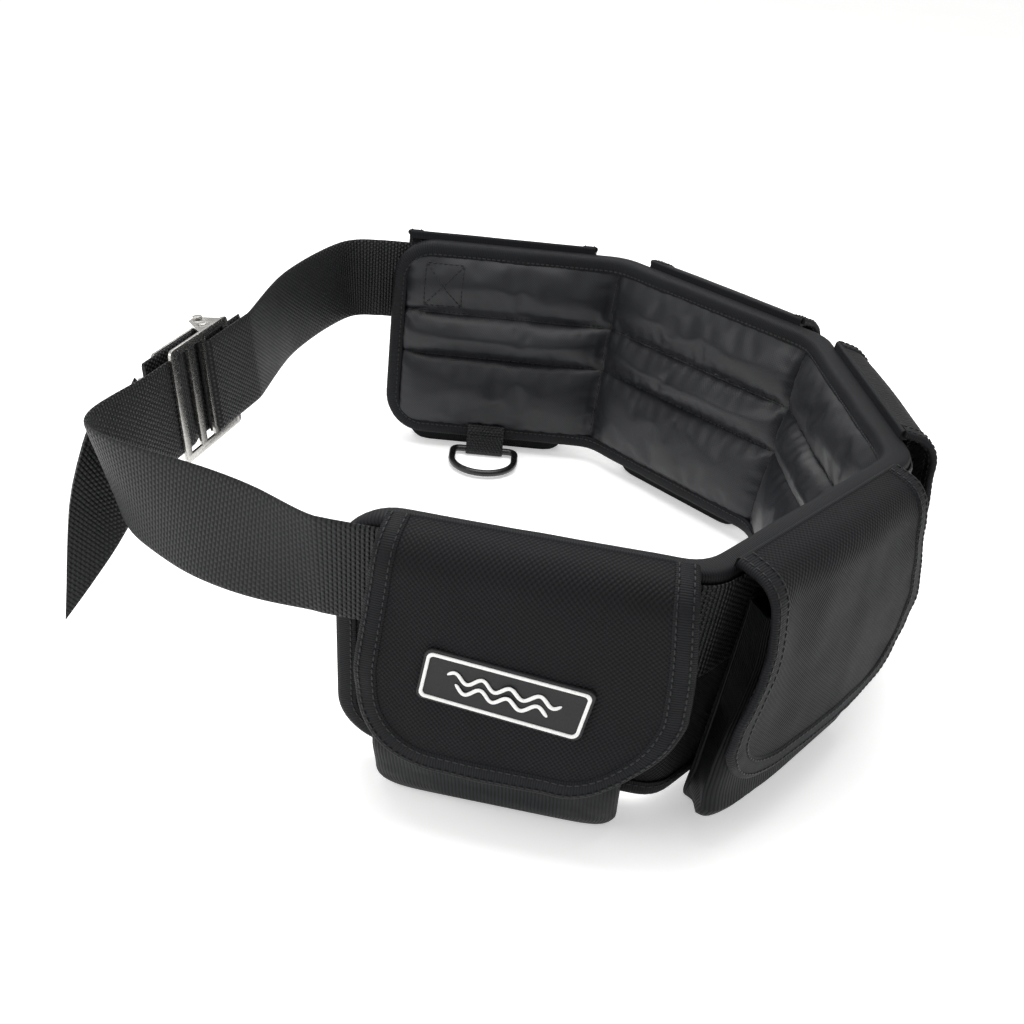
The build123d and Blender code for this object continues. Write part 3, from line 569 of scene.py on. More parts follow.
def swell(made, pinned):
    """Runs the cloth of the lining: seams and border held, the rest grown by about half a
    percent and pushed by light air pressure, without gravity. The result is capped and applied."""
    start = np.zeros(len(made.data.vertices) * 3)
    made.data.vertices.foreach_get("co", start)
    group = made.vertex_groups.new(name="held")
    for weight in np.unique(np.round(pinned, 2)):
        chosen = np.nonzero(np.round(pinned, 2) == weight)[0].tolist()
        group.add(chosen, float(weight), "REPLACE")
    cloth_on = made.modifiers.new("Cloth", "CLOTH")
    setting = cloth_on.settings
    setting.vertex_group_mass = "held"
    setting.quality = 5
    setting.mass = 0.15
    setting.shrink_min = -0.006
    setting.tension_stiffness = setting.compression_stiffness = 20
    setting.shear_stiffness = 8
    setting.bending_stiffness = 5.0
    setting.use_pressure = True
    setting.uniform_pressure_force = 4.0
    setting.effector_weights.gravity = 0
    cloth_on.point_cache.frame_start, cloth_on.point_cache.frame_end = 1, CLOTH_FRAMES
    scene = bpy.context.scene
    for number in range(1, CLOTH_FRAMES + 1):
        scene.frame_set(number)
    graph = bpy.context.evaluated_depsgraph_get()
    shaped = made.evaluated_get(graph)
    end = np.zeros(len(start))
    shaped.data.vertices.foreach_get("co", end)
    made.modifiers.remove(cloth_on)
    made.vertex_groups.clear()
    move = (end - start).reshape(-1, 3)
    size = np.linalg.norm(move, axis=1, keepdims=True)
    move *= np.where(size > CLOTH_LIMIT, CLOTH_LIMIT / np.maximum(size, 1e-9), 1.0)
    made.data.vertices.foreach_set("co", (start + move.ravel()).astype(np.float32))
    made.data.update()
    scene.frame_set(1)


class BELT_OT_lining(bpy.types.Operator):
    """Quilted satin lining over the foam: three rows of pillows in five segments"""

    bl_idname = "belt.lining"
    bl_label = "Quilted lining"

    def execute(self, context):
        sizes = context.scene.belt_sizes
        x = strip_columns(STRIP_INSET, 2.6)
        share = np.linspace(0, 1, 58)
        grid_x, grid_s = np.meshgrid(x, share, indexing="ij")
        grid_z = strip_heights(grid_x, grid_s, STRIP_INSET)
        depth = quilt_depth(grid_x, grid_z, sizes.pillow)
        inner = pad_point(grid_x, grid_z, depth)
        outer = pad_point(grid_x, grid_z, np.full(depth.shape, 8.8))
        made = slab("quilted_lining", inner, outer, np.stack([grid_x, grid_z], -1))
        rows = np.minimum(np.abs(grid_z - ROWS[0]), np.abs(grid_z - ROWS[1]))
        across = np.abs(grid_x / SEGMENT - np.round(grid_x / SEGMENT)) * SEGMENT
        edge = np.minimum(np.minimum(grid_z - PAD_BOTTOM, PAD_TOP - grid_z),
                          np.minimum(grid_x, LENGTH - grid_x))
        near = np.minimum.reduce([rows / 1.8, across / 2.2, (edge - 7.5) / 2.0])
        pinned = np.clip(1 - near, 0, 1)
        swell(made, np.r_[pinned.ravel(), np.ones(pinned.size)])
        settle(made, "belt", "lining_satin", lining_satin(), "lining",
               *[f"foam_pad_{k}" for k in range(1, 6)])
        count = grid_x.size
        placed = np.zeros(len(made.data.vertices) * 3)
        made.data.vertices.foreach_get("co", placed)
        shape = placed.reshape(-1, 3)[:count].reshape(grid_x.shape + (3,)) / MM
        facing = grid_normals(shape)
        facing *= np.sign(np.sum(facing * (inner - outer)))

        def on_lining(line, rise):
            """Stitch path on the finished cloth: its grid is read between four neighbours."""
            low, high = (strip_heights(line, k, STRIP_INSET) for k in (0.0, 1.0))
            i = np.clip(np.interp(line, x, np.arange(len(x))), 0, len(x) - 1.001)
            j = np.clip((rise - low) / (high - low), 0, 0.9999) * (len(share) - 1)
            a, b = i.astype(int), j.astype(int)
            f, g = (i - a)[:, None], (j - b)[:, None]
            spot, up = (grid[a, b] * (1 - f) * (1 - g) + grid[a + 1, b] * f * (1 - g)
                        + grid[a, b + 1] * (1 - f) * g + grid[a + 1, b + 1] * f * g
                        for grid in (shape, facing))
            return spot + unit(up) * 0.3, unit(up)

        runs = []
        for height in ROWS:
            for index in range(5):
                line = np.arange(index * SEGMENT + (9 if index == 0 else 3),
                                 (index + 1) * SEGMENT - (9 if index == 4 else 3), 2.0)
                runs.append(on_lining(line, np.full(line.shape, height)))
        for index in range(1, 5):
            rise = np.arange(PAD_BOTTOM + 9, PAD_TOP - 9, 2.0)
            runs.append(on_lining(np.full(rise.shape, index * SEGMENT), rise))
        for middle in (33.0, LENGTH - 33.0):
            low, high, half = 98.0, 126.0, 12.0
            corners = [(-half, low), (half, low), (half, high), (-half, high), (-half, low),
                       (half, high)]
            for a, b in [*zip(corners, corners[1:]), ((half, low), (-half, high))]:
                along_it = np.linspace(0, 1, 14)
                runs.append(on_lining(middle + a[0] + (b[0] - a[0]) * along_it,
                                      a[1] + (b[1] - a[1]) * along_it))
        sew("lining_stitching", runs, "belt", "lining_satin")
        return {"FINISHED"}


class BELT_OT_shell(bpy.types.Operator):
    """Outer shell cloth of the pad, stretched flat with faint waves"""

    bl_idname = "belt.shell"
    bl_label = "Back shell"

    def execute(self, context):
        x = strip_columns(STRIP_INSET, 5.0)
        grid_x, share = np.meshgrid(x, np.linspace(0, 1, 30), indexing="ij")
        grid_z = strip_heights(grid_x, share, STRIP_INSET)
        wave = 0.3 * ripple(21, 45, grid_x, grid_z)
        outer = pad_point(grid_x, grid_z, 9.9 + wave)
        inner = pad_point(grid_x, grid_z, 9.0 + wave)
        made = slab("shell_cloth", outer, inner, np.stack([grid_x, grid_z], -1))
        settle(made, "belt", "ballistic_nylon", flap_nylon(), "back_shell")
        return {"FINISHED"}


def rim_path():
    """Outline of the strip as a closed path: straight edges joined by quarter circles.
    Gives places, heights and the direction into the strip."""
    turn = np.linspace(0, pi / 2, 13)[1:-1]
    long = np.linspace(CORNER, LENGTH - CORNER, 200)
    tall = np.linspace(PAD_BOTTOM + CORNER, PAD_TOP - CORNER, 24)
    right, left, low, high = LENGTH - CORNER, CORNER, PAD_BOTTOM + CORNER, PAD_TOP - CORNER
    sine, cosine = CORNER * np.sin(turn), CORNER * np.cos(turn)
    x = np.r_[long, right + sine, np.full(24, LENGTH), right + cosine,
              long[::-1], left - sine, np.zeros(24), left - cosine]
    z = np.r_[np.full(200, PAD_BOTTOM), low - cosine, tall, high + sine,
              np.full(200, PAD_TOP), high + cosine, tall[::-1], low - sine]
    into_x = np.r_[np.zeros(200), -np.sin(turn), -np.ones(24), -np.cos(turn),
                   np.zeros(200), np.sin(turn), np.ones(24), np.cos(turn)]
    into_z = np.r_[np.ones(200), np.cos(turn), np.zeros(24), -np.sin(turn),
                   -np.ones(200), -np.cos(turn), np.zeros(24), np.sin(turn)]
    return x, z, into_x, into_z


class BELT_OT_edge_tape(bpy.types.Operator):
    """Binding tape folded round the rim of the pad, with a row of stitches on each face"""

    bl_idname = "belt.edge_tape"
    bl_label = "Edge tape"

    def execute(self, context):
        x, z, into_x, into_z = rim_path()
        profile = np.array([(9, -0.9), (8.4, -1.3), (5, -1.5), (2.4, -1.3), (0.8, -0.2), (0.1, 2),
                            (0, 5), (0.1, 8), (0.8, 10.1), (2.4, 11), (5, 11.1), (8.4, 11),
                            (9, 10.7), (8.6, 10.2), (2.6, 9.8), (1.3, 8), (1.2, 5), (1.3, 2),
                            (2.6, 0.2), (8.6, -0.2)])
        inset, depth = profile.T
        waver = 0.35 * ripple(31, 40, x, z)[:, None]
        rings = pad_point(x[:, None] + into_x[:, None] * inset,
                          z[:, None] + into_z[:, None] * inset,
                          depth + waver * (depth < 4) * (inset > 0.5))
        tape = loft("rim_tape", rings, ring_uv(rings), loop=True, sharp=60.0)
        settle(tape, "belt", "binding_tape", grosgrain(), "edge_binding")
        runs = []
        for level, way in ((-1.55, -1), (11.15, 1)):
            spot = pad_point(x + into_x * 7.0, z + into_z * 7.0, level)
            up = unit(pad_point(x, z, 1.0) - pad_point(x, z, 0.0)) * way
            runs.append((np.vstack([spot, spot[:1]]), np.vstack([up, up[:1]])))
        sew("rim_stitching", runs, "belt")
        return {"FINISHED"}


# ---------------------------------------------------------------- webbing
def curve_through(points, steps):
    """Catmull-Rom cubic through the inner points: each span blends four points."""
    points = np.asarray(points, float)
    a, b, c, d = (points[k:len(points) - 3 + k, None] for k in range(4))
    t = (np.arange(steps) / steps)[None, :, None]
    spans = 0.5 * (2 * b + (c - a) * t + (2 * a - 5 * b + 4 * c - d) * t ** 2
                   + (3 * b - a - 3 * c + d) * t ** 3)
    return np.vstack([spans.reshape(-1, points.shape[1]), points[-2:-1]])


def free_lean(points, slack, tip):
    """Lean vector of a free run: across the path, tipped back over its first part by a
    squared sine and out over its bend by another."""
    place_at = np.linspace(0, 1, len(points))
    share = 1 - slack * np.sin(pi * np.minimum(place_at / 0.62, 1)) ** 2
    share += tip * np.sin(pi * np.maximum(place_at - 0.5, 0) / 0.5) ** 2
    return ring_normal(points)[1] * share[:, None]


def buckle_run(spots):
    spots = np.asarray(spots, float)
    flat = BUCKLE_FRONT + spots[:, :1] * BUCKLE_U
    flat = flat + (spots[:, 1:] / cos(FLARE) + WEB_MIDDLE * LEAN) * BUCKLE_N
    return flat, np.repeat(BUCKLE_N[None], len(spots), 0)


def around(u, n, radius, first, last, steps=18):
    angle = np.radians(np.linspace(first, last, steps + 1))
    return np.stack([u + radius * np.cos(angle), n + radius * np.sin(angle)], -1)


def webbing_path():
    """Plan line of the webbing at its middle height: fixed loop in the buckle, the back run,
    the seat along the pad, the slack front run and the free end round the bar."""
    fixed = [(80, FIXED_N), (66, FIXED_N), (50, FIXED_N), (38, FIXED_N)]
    fixed += around(SLOT_END, UNDER_N + TURN, TURN, 90, 270).tolist()
    fixed += [(38, UNDER_N), (50, UNDER_N), (66, UNDER_N), (84, UNDER_N)]
    seat_x = np.arange(LENGTH, -0.1, -3.5)
    seat = pad_point(seat_x, WEB_MIDDLE, WEB_DEPTH)[:, :2]
    seat_lean = pad_point(seat_x, WEB_MIDDLE, WEB_DEPTH + 1)[:, :2] - seat
    away = buckle_run([(70, UNDER_N), (84, UNDER_N)])[0]
    enter = buckle_run([(-16, FIXED_N), (-8, FIXED_N)])[0]
    knee = seat[0] + (-32.0, -13.0)
    middle = (away[1] + knee) / 2 + (-8.0, 4.0)
    back = curve_through([away[0], away[1], middle, knee, seat[0] + (-8.0, -0.4), seat[0]], 16)[1:]
    bend = SEAMS[0] + (-122.0, 38.0)
    front = curve_through([seat[-1], seat[-1] + (-6.0, 1.2), SEAMS[0] + (-36.0, -15.0),
                           SEAMS[0] + (-77.0, 6.0), bend + (11.0, -9.0), bend + (1.0, 12.0),
                           enter[0], enter[1]], 16)
    free = [(-8, FIXED_N), (10, FIXED_N), (15, FIXED_N + 0.3), (21, FREE_N - 0.3),
            (25, FREE_N), (38, FREE_N)]
    free += around(BAR_U, BAR_N, RETURN_N - BAR_N, -90, 90).tolist()
    free += [(40, RETURN_N), (30, RETURN_N), (12, RETURN_N), (EXIT_U, RETURN_N)]
    runs = [buckle_run(fixed), (back, free_lean(back, 0.0, 0.0)), (seat, seat_lean),
            (front, free_lean(front, FRONT_SLACK, FRONT_TIP)), buckle_run(free)]
    path, lean = (np.vstack(part) for part in zip(*runs))
    step = np.linalg.norm(np.diff(path, axis=0), axis=1)
    keep = np.r_[True, step > 0.35]
    return path[keep], lean[keep]


def ribbon(name, middle, uv):
    """Webbing from a grid of its middle surface: the thickness is full over the width and
    rounds off over the last millimetre at each edge."""
    share = np.clip(np.abs(uv[..., 1:]) / HALF_WEB, 0, 1)
    half = WEB_THICKNESS / 2 * np.sqrt(np.maximum(1 - share ** 24, 0.06))
    normal = grid_normals(middle)
    return slab(name, middle + normal * half, middle - normal * half, uv)


class BELT_OT_webbing(bpy.types.Operator):
    """Main webbing from the fixed loop round the pad to the buckle's bar"""

    bl_idname = "belt.webbing"
    bl_label = "Webbing"

    def execute(self, context):
        path, lean = webbing_path()
        flat = path[:, None] + lean[:, None] * (WEB_ACROSS * LEAN)[None, :, None]
        high = np.broadcast_to(WEB_MIDDLE + WEB_ACROSS, flat.shape[:2])
        middle = np.concatenate([flat, high[..., None]], -1)
        uv = np.stack(np.meshgrid(lengths(path), WEB_ACROSS, indexing="ij"), -1)
        made = ribbon("main_webbing", middle, uv)
        settle(made, "belt", "webbing", webbing_weave(), "belt_webbing")
        return {"FINISHED"}


def tail_surface(share, across):
    """Middle surface of the tail: places and across vectors blend through six sections,
    swinging out, dropping and turning over as the tail falls."""
    sections = np.array([(EXIT_U, 0, 0, 0), (-25, -1, 8, 4), (-46, 2, 15, 10), (-65, 8, 25, 16),
                         (-81, 18, 40, 22), (-95, 31, 58, 26)], float)
    spots = np.array([buckle_spot(u, RETURN_N + swing, -drop) for u, swing, drop, _ in sections])
    spots = np.vstack([2 * spots[:1] - spots[1:2], spots, 2 * spots[-1:] - spots[-2:-1]])
    line = curve_through(spots, 24)
    turns = np.r_[sections[0, 3], sections[:, 3], sections[-1, 3]][:, None]
    turn = FLARE + np.radians(curve_through(turns, 24)[:, 0])
    way = unit(np.gradient(line, axis=0))
    side = np.stack([BUCKLE_N[0] * np.sin(turn), BUCKLE_N[1] * np.sin(turn), np.cos(turn)], -1)
    side = unit(side - way * np.sum(side * way, -1, keepdims=True))
    travel = lengths(line)
    at = share * travel[-1]
    return sample(at, travel, line) + unit(sample(at, travel, side)) * across[..., None], at


class BELT_OT_tail(bpy.types.Operator):
    """Free end of the webbing, hanging from the buckle and cut on a slant"""

    bl_idname = "belt.tail"
    bl_label = "Webbing tail"

    def execute(self, context):
        slant = 1.0 - (WEB_ACROSS + HALF_WEB) / (2 * HALF_WEB) * 0.66
        share = np.linspace(0, 1, 60)[:, None] * slant
        grid_across = np.broadcast_to(WEB_ACROSS, share.shape)
        middle, travel = tail_surface(share, grid_across)
        made = ribbon("webbing_tail", middle, np.stack([travel, grid_across], -1))
        settle(made, None, "webbing", webbing_weave(), "belt_tail")
        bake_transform(made)
        return {"FINISHED"}


# ---------------------------------------------------------------- pockets
def pocket_ring(index, height, count=88):
    """Outline of a pocket at one height: a rounded rectangle, its front edge bowed out in
    the middle as one less the square of the place across."""
    rise = np.minimum(height, 12.0)
    half = POCKET_WIDTH / 2 - (12 - sqrt(144 - (12 - rise) ** 2))
    back = BACK_NEAR + height * LEAN
    foot = BACK_NEAR + POCKET_FOOT
    knee = 34.0 if index == 0 else POCKET_RISE
    rim = front_reach(knee)
    slope = np.clip(height / knee, 0, 1)
    reach = foot + (rim - foot) * slope ** 0.8 if height < knee else front_reach(height)
    turn = np.linspace(0, 2 * pi, count, endpoint=False) + pi / count
    cosine, sine = np.cos(turn), np.sin(turn)
    power = np.where(sine > 0, 0.28, 0.12)
    x = half * np.sign(cosine) * np.abs(cosine) ** power
    bow = np.sign(sine) * np.abs(sine) ** power
    deep = (back + reach) / 2 + (reach - back) / 2 * bow
    front = np.clip(bow, 0, 1)
    sag = ease((60 - height) / 45) * ease(height / 8)
    level = height + 0 * x
    swag = front * sag * (2.2 * (1 - (x / half) ** 2) + 1.1 * ripple(41 + index, 38, x, level))
    pinch = 1.3 * ripple(61 + index, 30, deep, level) * (1 - front) * ease((deep - back) / 10)
    spread = (19.0 if index == 1 else 0.0) * ease((95 - height) / 60) * ease(height / 20)
    x = x - spread * np.clip(-x / half, 0, 1) ** 2 * ease((deep - back - 4) / 12)
    return place(index, x + SHIFTS[index] + pinch * np.sign(cosine) * 0.8, deep + swag,
                 level + 6 * (height / POCKET_TOP) ** 6 * (bow < 0) * -bow)


class BELT_OT_pockets(bpy.types.Operator):
    """Five weight pockets of corded cloth, open at the top and slack at the bottom"""

    bl_idname = "belt.pockets"
    bl_label = "Pockets"

    def execute(self, context):
        levels = np.r_[0, 0.6, 1.6, 3, 5, 7.5, 10, 13, 16, 19, 22, 25,
                       np.linspace(29, POCKET_TOP, 24)]
        for index in range(5):
            rings = np.array([pocket_ring(index, h) for h in levels])
            grid = np.concatenate([rings, rings[:, :1]], 1)
            normal = grid_normals(grid)[:, :-1]
            middle = rings.mean(axis=1, keepdims=True)
            side = np.sign(np.sum(normal * (rings - middle), -1, keepdims=True))
            inner = rings - normal * side * POCKET_WALL
            inner[..., 2] = np.maximum(inner[..., 2], POCKET_WALL)
            uv = np.stack(np.broadcast_arrays(lengths(rings[20])[None], levels[:, None]), -1)
            made = slab(f"pocket_bag_{index + 1}", rings, inner, uv, wrap=True, floor=True)
            settle(made, "belt", "pocket_cloth", corded_cloth(),
                   *[f"pocket_{part}_{index + 1}" for part in ("back", "front", "gusset")])
            x, z = PILE
            sheets = [place(index, x + SHIFTS[index], front_reach(z) + d, z) for d in (1.6, 0.1)]
            loop = slab(f"loop_pile_{index + 1}", *sheets, np.stack([x, z], -1))
            settle(loop, "belt", "loop_tape", loop_pile(), f"loop_tape_{index + 1}")
        return {"FINISHED"}


# ---------------------------------------------------------------- flaps
def flap_profile():
    """Cross-section of a flap: two straight runs joined by a curve over the shoulder.
    Gives lengths along it, outward places, heights and the outward normal."""
    hinge = np.array(HINGE)
    shoulder = np.array([front_reach(135.0) + FLAP_MIDDLE, 135.0])
    low = np.array([front_reach(FLAP_LOW) + FLAP_MIDDLE, FLAP_LOW])
    first, second = unit(shoulder - hinge), unit(low - shoulder)
    a, b = shoulder - first * 11, shoulder + second * 11
    t = np.linspace(0, 1, 40)[:, None]
    bend = a * (1 - t) ** 2 + 2 * shoulder * t * (1 - t) + b * t ** 2
    line = np.vstack([hinge + (a - hinge) * np.linspace(0, 1, 12)[:-1, None], bend,
                      b + (low - b) * np.linspace(0, 1, 60)[1:, None]])
    return lengths(line), line, ring_normal(line)[1]


FLAP_LENGTHS, FLAP_LINE, FLAP_NORMAL = flap_profile()
FLAP_DROP = FLAP_LENGTHS[-1]


def flap_height(travel):
    return np.interp(travel, FLAP_LENGTHS, FLAP_LINE[:, 1])


def flap_half_width(height):
    """Half width of a flap: straight sides that widen downwards, then a large corner circle
    that touches the side and the bottom edge."""
    side = np.interp(height, [FLAP_LOW, 78.0, 158.0], [61.0, 66.0, 62.0])
    centre = FLAP_LOW + FLAP_CORNER
    circle = 27.08 + np.sqrt(np.maximum(FLAP_CORNER ** 2 - (height - centre) ** 2, 0))
    return np.where(height < centre - 4.29, np.minimum(circle, side), side)


def flap_lift(index, x, travel):
    """How far a flap stands off its plain cross-section: a shallow belly and slow waves. The
    second flap also curls outward along its near side, the first along its lower edge."""
    share = np.clip(travel / FLAP_DROP, 0, 1.1)
    belly = 2.6 * np.sin(pi * np.clip(share, 0, 1)) * (1 - (x / 75) ** 2)
    wave = 0.9 * ripple(71 + index, 75, x, travel) * ease(share * 3)
    edge = 1.2 * ease((np.abs(x) - 45) / 22) * ease(share * 2) * ripple(81 + index, 50, x, travel)
    lift = belly + wave + edge
    if index == 1:
        lift = lift + 4.5 * ease((-x - 38) / 30) * np.sin(pi * np.clip(share / 0.75, 0, 1)) ** 2
    if index == 0:
        lift = lift + 3.0 * ease((share - 0.55) / 0.5) * (1 - (x / 80) ** 2)
    return lift


def flap_slide(index, x, travel):
    """How far a flap's cloth hangs off to one side: the first is sewn on a little late and
    loses its far low corner, the second spreads towards both its sides."""
    share = np.clip(travel / FLAP_DROP, 0, 1.1)
    side = x / 66
    if index == 0:
        slide = 8.5 - 4.5 * share + 6.0 * np.sin(pi * np.clip(share, 0, 1)) * np.clip(side, 0, 1)
        return slide - 13.0 * ease((share - 0.6) / 0.45) * np.clip(side, 0, 1.2) ** 2
    if index == 1:
        far = (3.0 + 8.0 * ease((share - 0.2) / 0.5)) * np.clip(side, 0, 1)
        return far - (9.0 + 12.0 * ease((share - 0.35) / 0.45)) * np.clip(-side, 0, 1.2)
    return 0.8 * ripple(91 + index, 90, x, travel) * ease(share * 2)


def flap_point(index, x, travel, lift):
    """Point of a flap: the cross-section at that length, moved out along its normal."""
    x, travel, lift = np.broadcast_arrays(*(np.asarray(v, float) for v in (x, travel, lift)))
    total = lift + flap_lift(index, x, travel)
    beyond = np.maximum(travel - FLAP_DROP, 0)
    n, z, a, b = (np.interp(travel, FLAP_LENGTHS, row) for row in (*FLAP_LINE.T, *FLAP_NORMAL.T))
    across = x + flap_slide(index, x, travel)
    return place(index, across + SHIFTS[index], n + a * total, z + b * total - beyond)


def flap_outline():
    """Edge of a flap as places across and lengths down, from one hinge corner to the other,
    with the direction into the cloth."""
    height = np.r_[np.linspace(0, FLAP_DROP - 40, 30),
                   FLAP_DROP - 38 * (1 - np.sin(np.linspace(0, pi / 2, 30)))]
    half = flap_half_width(flap_height(height))
    bottom = np.linspace(-half[-1], half[-1], 22)[1:-1]
    x = np.r_[-half, bottom, half[::-1]]
    travel = np.r_[height, np.full(20, FLAP_DROP), height[::-1]]
    line = np.stack([x, travel], -1)
    count = lengths(line)
    even = np.linspace(0, count[-1], 150)
    line = sample(even, count, line)
    return line, -ring_normal(line)[1]


class BELT_OT_flaps(bpy.types.Operator):
    """Five pocket flaps of heavy nylon with bound edges, stitching and hook tape"""

    bl_idname = "belt.flaps"
    bl_label = "Flaps"

    def execute(self, context):
        travel = np.r_[np.linspace(0, FLAP_DROP - 40, 38),
                       FLAP_DROP - 38 + 37.2 * np.sin(np.linspace(0, pi / 2, 24))]
        share = np.linspace(-1, 1, 61)
        half = flap_half_width(flap_height(travel)) - 1.2
        grid_x = half[:, None] * share
        grid_t = np.broadcast_to(travel[:, None], grid_x.shape)
        edge, into = flap_outline()
        profile = np.array([(10, 1.3), (9.4, 1.75), (6, 1.9), (1.4, 1.8), (0.3, 1.2), (0, 0),
                            (0.3, -1.2), (1.4, -1.8), (6, -1.9), (9.4, -1.75), (10, -1.3)])
        for index in range(5):
            body = f"flap_body_{index + 1}"
            faces = [flap_point(index, grid_x, grid_t, d) for d in (1.2, -1.2)]
            made = slab(f"flap_cloth_{index + 1}", *faces, np.stack([grid_x, grid_t], -1))
            settle(made, body, "ballistic_nylon", flap_nylon(), f"flap_{index + 1}")
            # The sewn edge stands up from the rim and ends in a half round about the hinge
            # line, so the flap turns on it without a gap.
            round_it = np.linspace(0, pi, 13)
            section = np.r_[ROOT_RADIUS * np.stack([np.cos(round_it), np.sin(round_it)], -1),
                            [(-2.2, -3.4), (2.2, -3.4)]]
            along_it = np.linspace(-61.0, 61.0, 62)
            root = flap_point(index, along_it, 0, 0)
            away = np.r_[outward(HEADINGS[index]), 0]
            rings = root[:, None] + section[:, :1] * away + section[:, 1:] * np.array([0, 0, 1.0])
            seam = loft(f"flap_root_tape_{index + 1}", rings, ring_uv(rings))
            settle(seam, "belt", "binding_tape", grosgrain())
            spots = edge[:, None] + into[:, None] * profile[None, :, :1]
            rings = flap_point(index, spots[..., 0], spots[..., 1], profile[:, 1])
            tape = loft(f"flap_tape_{index + 1}", rings, ring_uv(rings), sharp=60.0)
            settle(tape, body, "binding_tape", grosgrain(), f"flap_binding_{index + 1}")
            runs = []
            for inset in (2.4, 8.4):
                line = edge + into * inset
                for side in (2.0, -2.0):
                    spot = flap_point(index, line[:, 0], line[:, 1], side)
                    up = unit(spot - flap_point(index, line[:, 0], line[:, 1], 0))
                    runs.append((spot, up))
            sew(f"flap_stitching_{index + 1}", runs, body)
            x, z = PILE
            down = np.interp(-z, -FLAP_LINE[:, 1], FLAP_LENGTHS)
            sheets = [flap_point(index, x, down, d) for d in (-1.25, -2.6)]
            hook = slab(f"hook_pile_{index + 1}", *sheets, np.stack([x, z], -1))
            settle(hook, body, "hook_tape", hook_pile(), f"hook_tape_{index + 1}")
        return {"FINISHED"}


# ---------------------------------------------------------------- badge
def rounded(length, height, radius, steps=10):
    """Rounded rectangle as one closed ring of points, counter-clockwise."""
    turn = np.linspace(0, pi / 2, steps)
    ring = []
    for quarter, (sx, sy) in enumerate(((1, 1), (-1, 1), (-1, -1), (1, -1))):
        angle = turn + quarter * pi / 2
        ring.append(np.stack([sx * (length / 2 - radius) + radius * np.cos(angle),
                              sy * (height / 2 - radius) + radius * np.sin(angle)], -1))
    return np.vstack(ring)


class BELT_OT_badge(bpy.types.Operator):
    """Moulded rubber badge with a raised white frame and plain wave lines"""

    bl_idname = "belt.badge"
    bl_label = "Badge"

    def execute(self, context):
        middle = (-3.5, float(np.interp(-80.0, -FLAP_LINE[:, 1], FLAP_LENGTHS)))
        tilt = radians(-5.5)

        def spot(flat, lift):
            """Flat point turned by the badge's tilt and laid on the first flap, lifted off it."""
            x = middle[0] + flat[..., 0] * cos(tilt) - flat[..., 1] * sin(tilt)
            up = flat[..., 0] * sin(tilt) + flat[..., 1] * cos(tilt)
            return flap_point(0, x, middle[1] - up, lift)

        def plate(inset, radius):
            """Rounded outline of the badge, set in from its edge by a distance."""
            return rounded(BADGE_LENGTH - 2 * inset, BADGE_HEIGHT - 2 * inset, radius)

        steps = ((6.0, 1.1), (0.4, 1.1), (0.0, 1.5), (0.0, 2.6), (0.25, 2.95), (0.7, 3.05),
                 (2.0, 3.05), (5.0, 3.05), (9.0, 3.05))
        rings = np.array([spot(plate(d, max(3.2 - d, 0.8)), h) for d, h in steps])
        made = loft("badge_plate", rings, ring_uv(rings))
        settle(made, "flap_body_1", "badge_rubber", soft_rubber(), "badge")
        steps = ((1.2, 3.0), (1.25, 3.5), (1.5, 3.7), (2.3, 3.7), (2.6, 3.5), (2.65, 3.0))
        rings = np.array([spot(plate(d, 3.4 - d * 0.6), h) for d, h in steps])
        border = loft("badge_frame", rings, ring_uv(rings), loop=True)
        settle(border, "flap_body_1", "badge_white", white_rubber(), "badge_border")
        turn = np.arange(10) * 2 * pi / 10
        for number, (level, start, end) in enumerate(((2.4, -23, 23), (-2.4, -19, 19))):
            x = np.linspace(start, end, 90)
            y = level + 1.9 * np.sin(2 * pi * x / 11.5)
            way = unit(np.stack([np.gradient(x), np.gradient(y)], -1))
            side = np.stack([-way[:, 1], way[:, 0]], -1)
            taper = np.sqrt(np.clip(1 - (np.abs(np.linspace(-1, 1, 90)) ** 30), 0.08, 1))
            breadth = 0.85 * taper[:, None] * np.cos(turn)
            flat = np.stack([x, y], -1)[:, None] + side[:, None] * breadth[..., None]
            lift = 3.1 + 0.45 * taper[:, None] * np.sin(turn)
            rings = spot(flat, lift)
            wave = loft(f"badge_wave_{number + 1}", rings, ring_uv(rings), sharp=70.0)
            settle(wave, "flap_body_1", "badge_white", white_rubber())
        return {"FINISHED"}


# ---------------------------------------------------------------- hardware
def metal_copy(name, source, body, bevel, material, slot):
    """Copy of a frame node with its loose triangles merged and its edges rounded."""
    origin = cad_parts[source]
    mesh = origin.data.copy()
    mesh.name = name
    work = bmesh.new()
    work.from_mesh(mesh)
    bmesh.ops.remove_doubles(work, verts=work.verts, dist=2e-6)
    bmesh.ops.dissolve_limit(work, angle_limit=radians(2), verts=work.verts, edges=work.edges)
    work.to_mesh(mesh)
    work.free()
    mesh.polygons.foreach_set("use_smooth", np.ones(len(mesh.polygons), bool))
    made = bpy.data.objects.new(name, mesh)
    bpy.context.scene.collection.objects.link(made)
    rounding = made.modifiers.new("Bevel", "BEVEL")
    rounding.width, rounding.segments, rounding.limit_method = bevel * MM, 3, "ANGLE"
    rounding.angle_limit = radians(35)
    rounding.harden_normals = True
    return settle(made, body, slot, material, source)


class BELT_OT_buckle(bpy.types.Operator):
    """Stainless buckle: slotted frame, bar, pin and cam lever"""

    bl_idname = "belt.buckle"
    bl_label = "Buckle"

    def execute(self, context):
        for source, name, body, bevel in (
                ("buckle_frame", "steel_frame", "belt", 0.35),
                ("anchor_bar", "steel_bar", "belt", 0.15),
                ("lever_pin", "steel_pin", "belt", 0.2),
                ("buckle_lever", "steel_lever", "lever", 0.3)):
            metal_copy(name, source, body, bevel, steel(), "stainless")
        return {"FINISHED"}


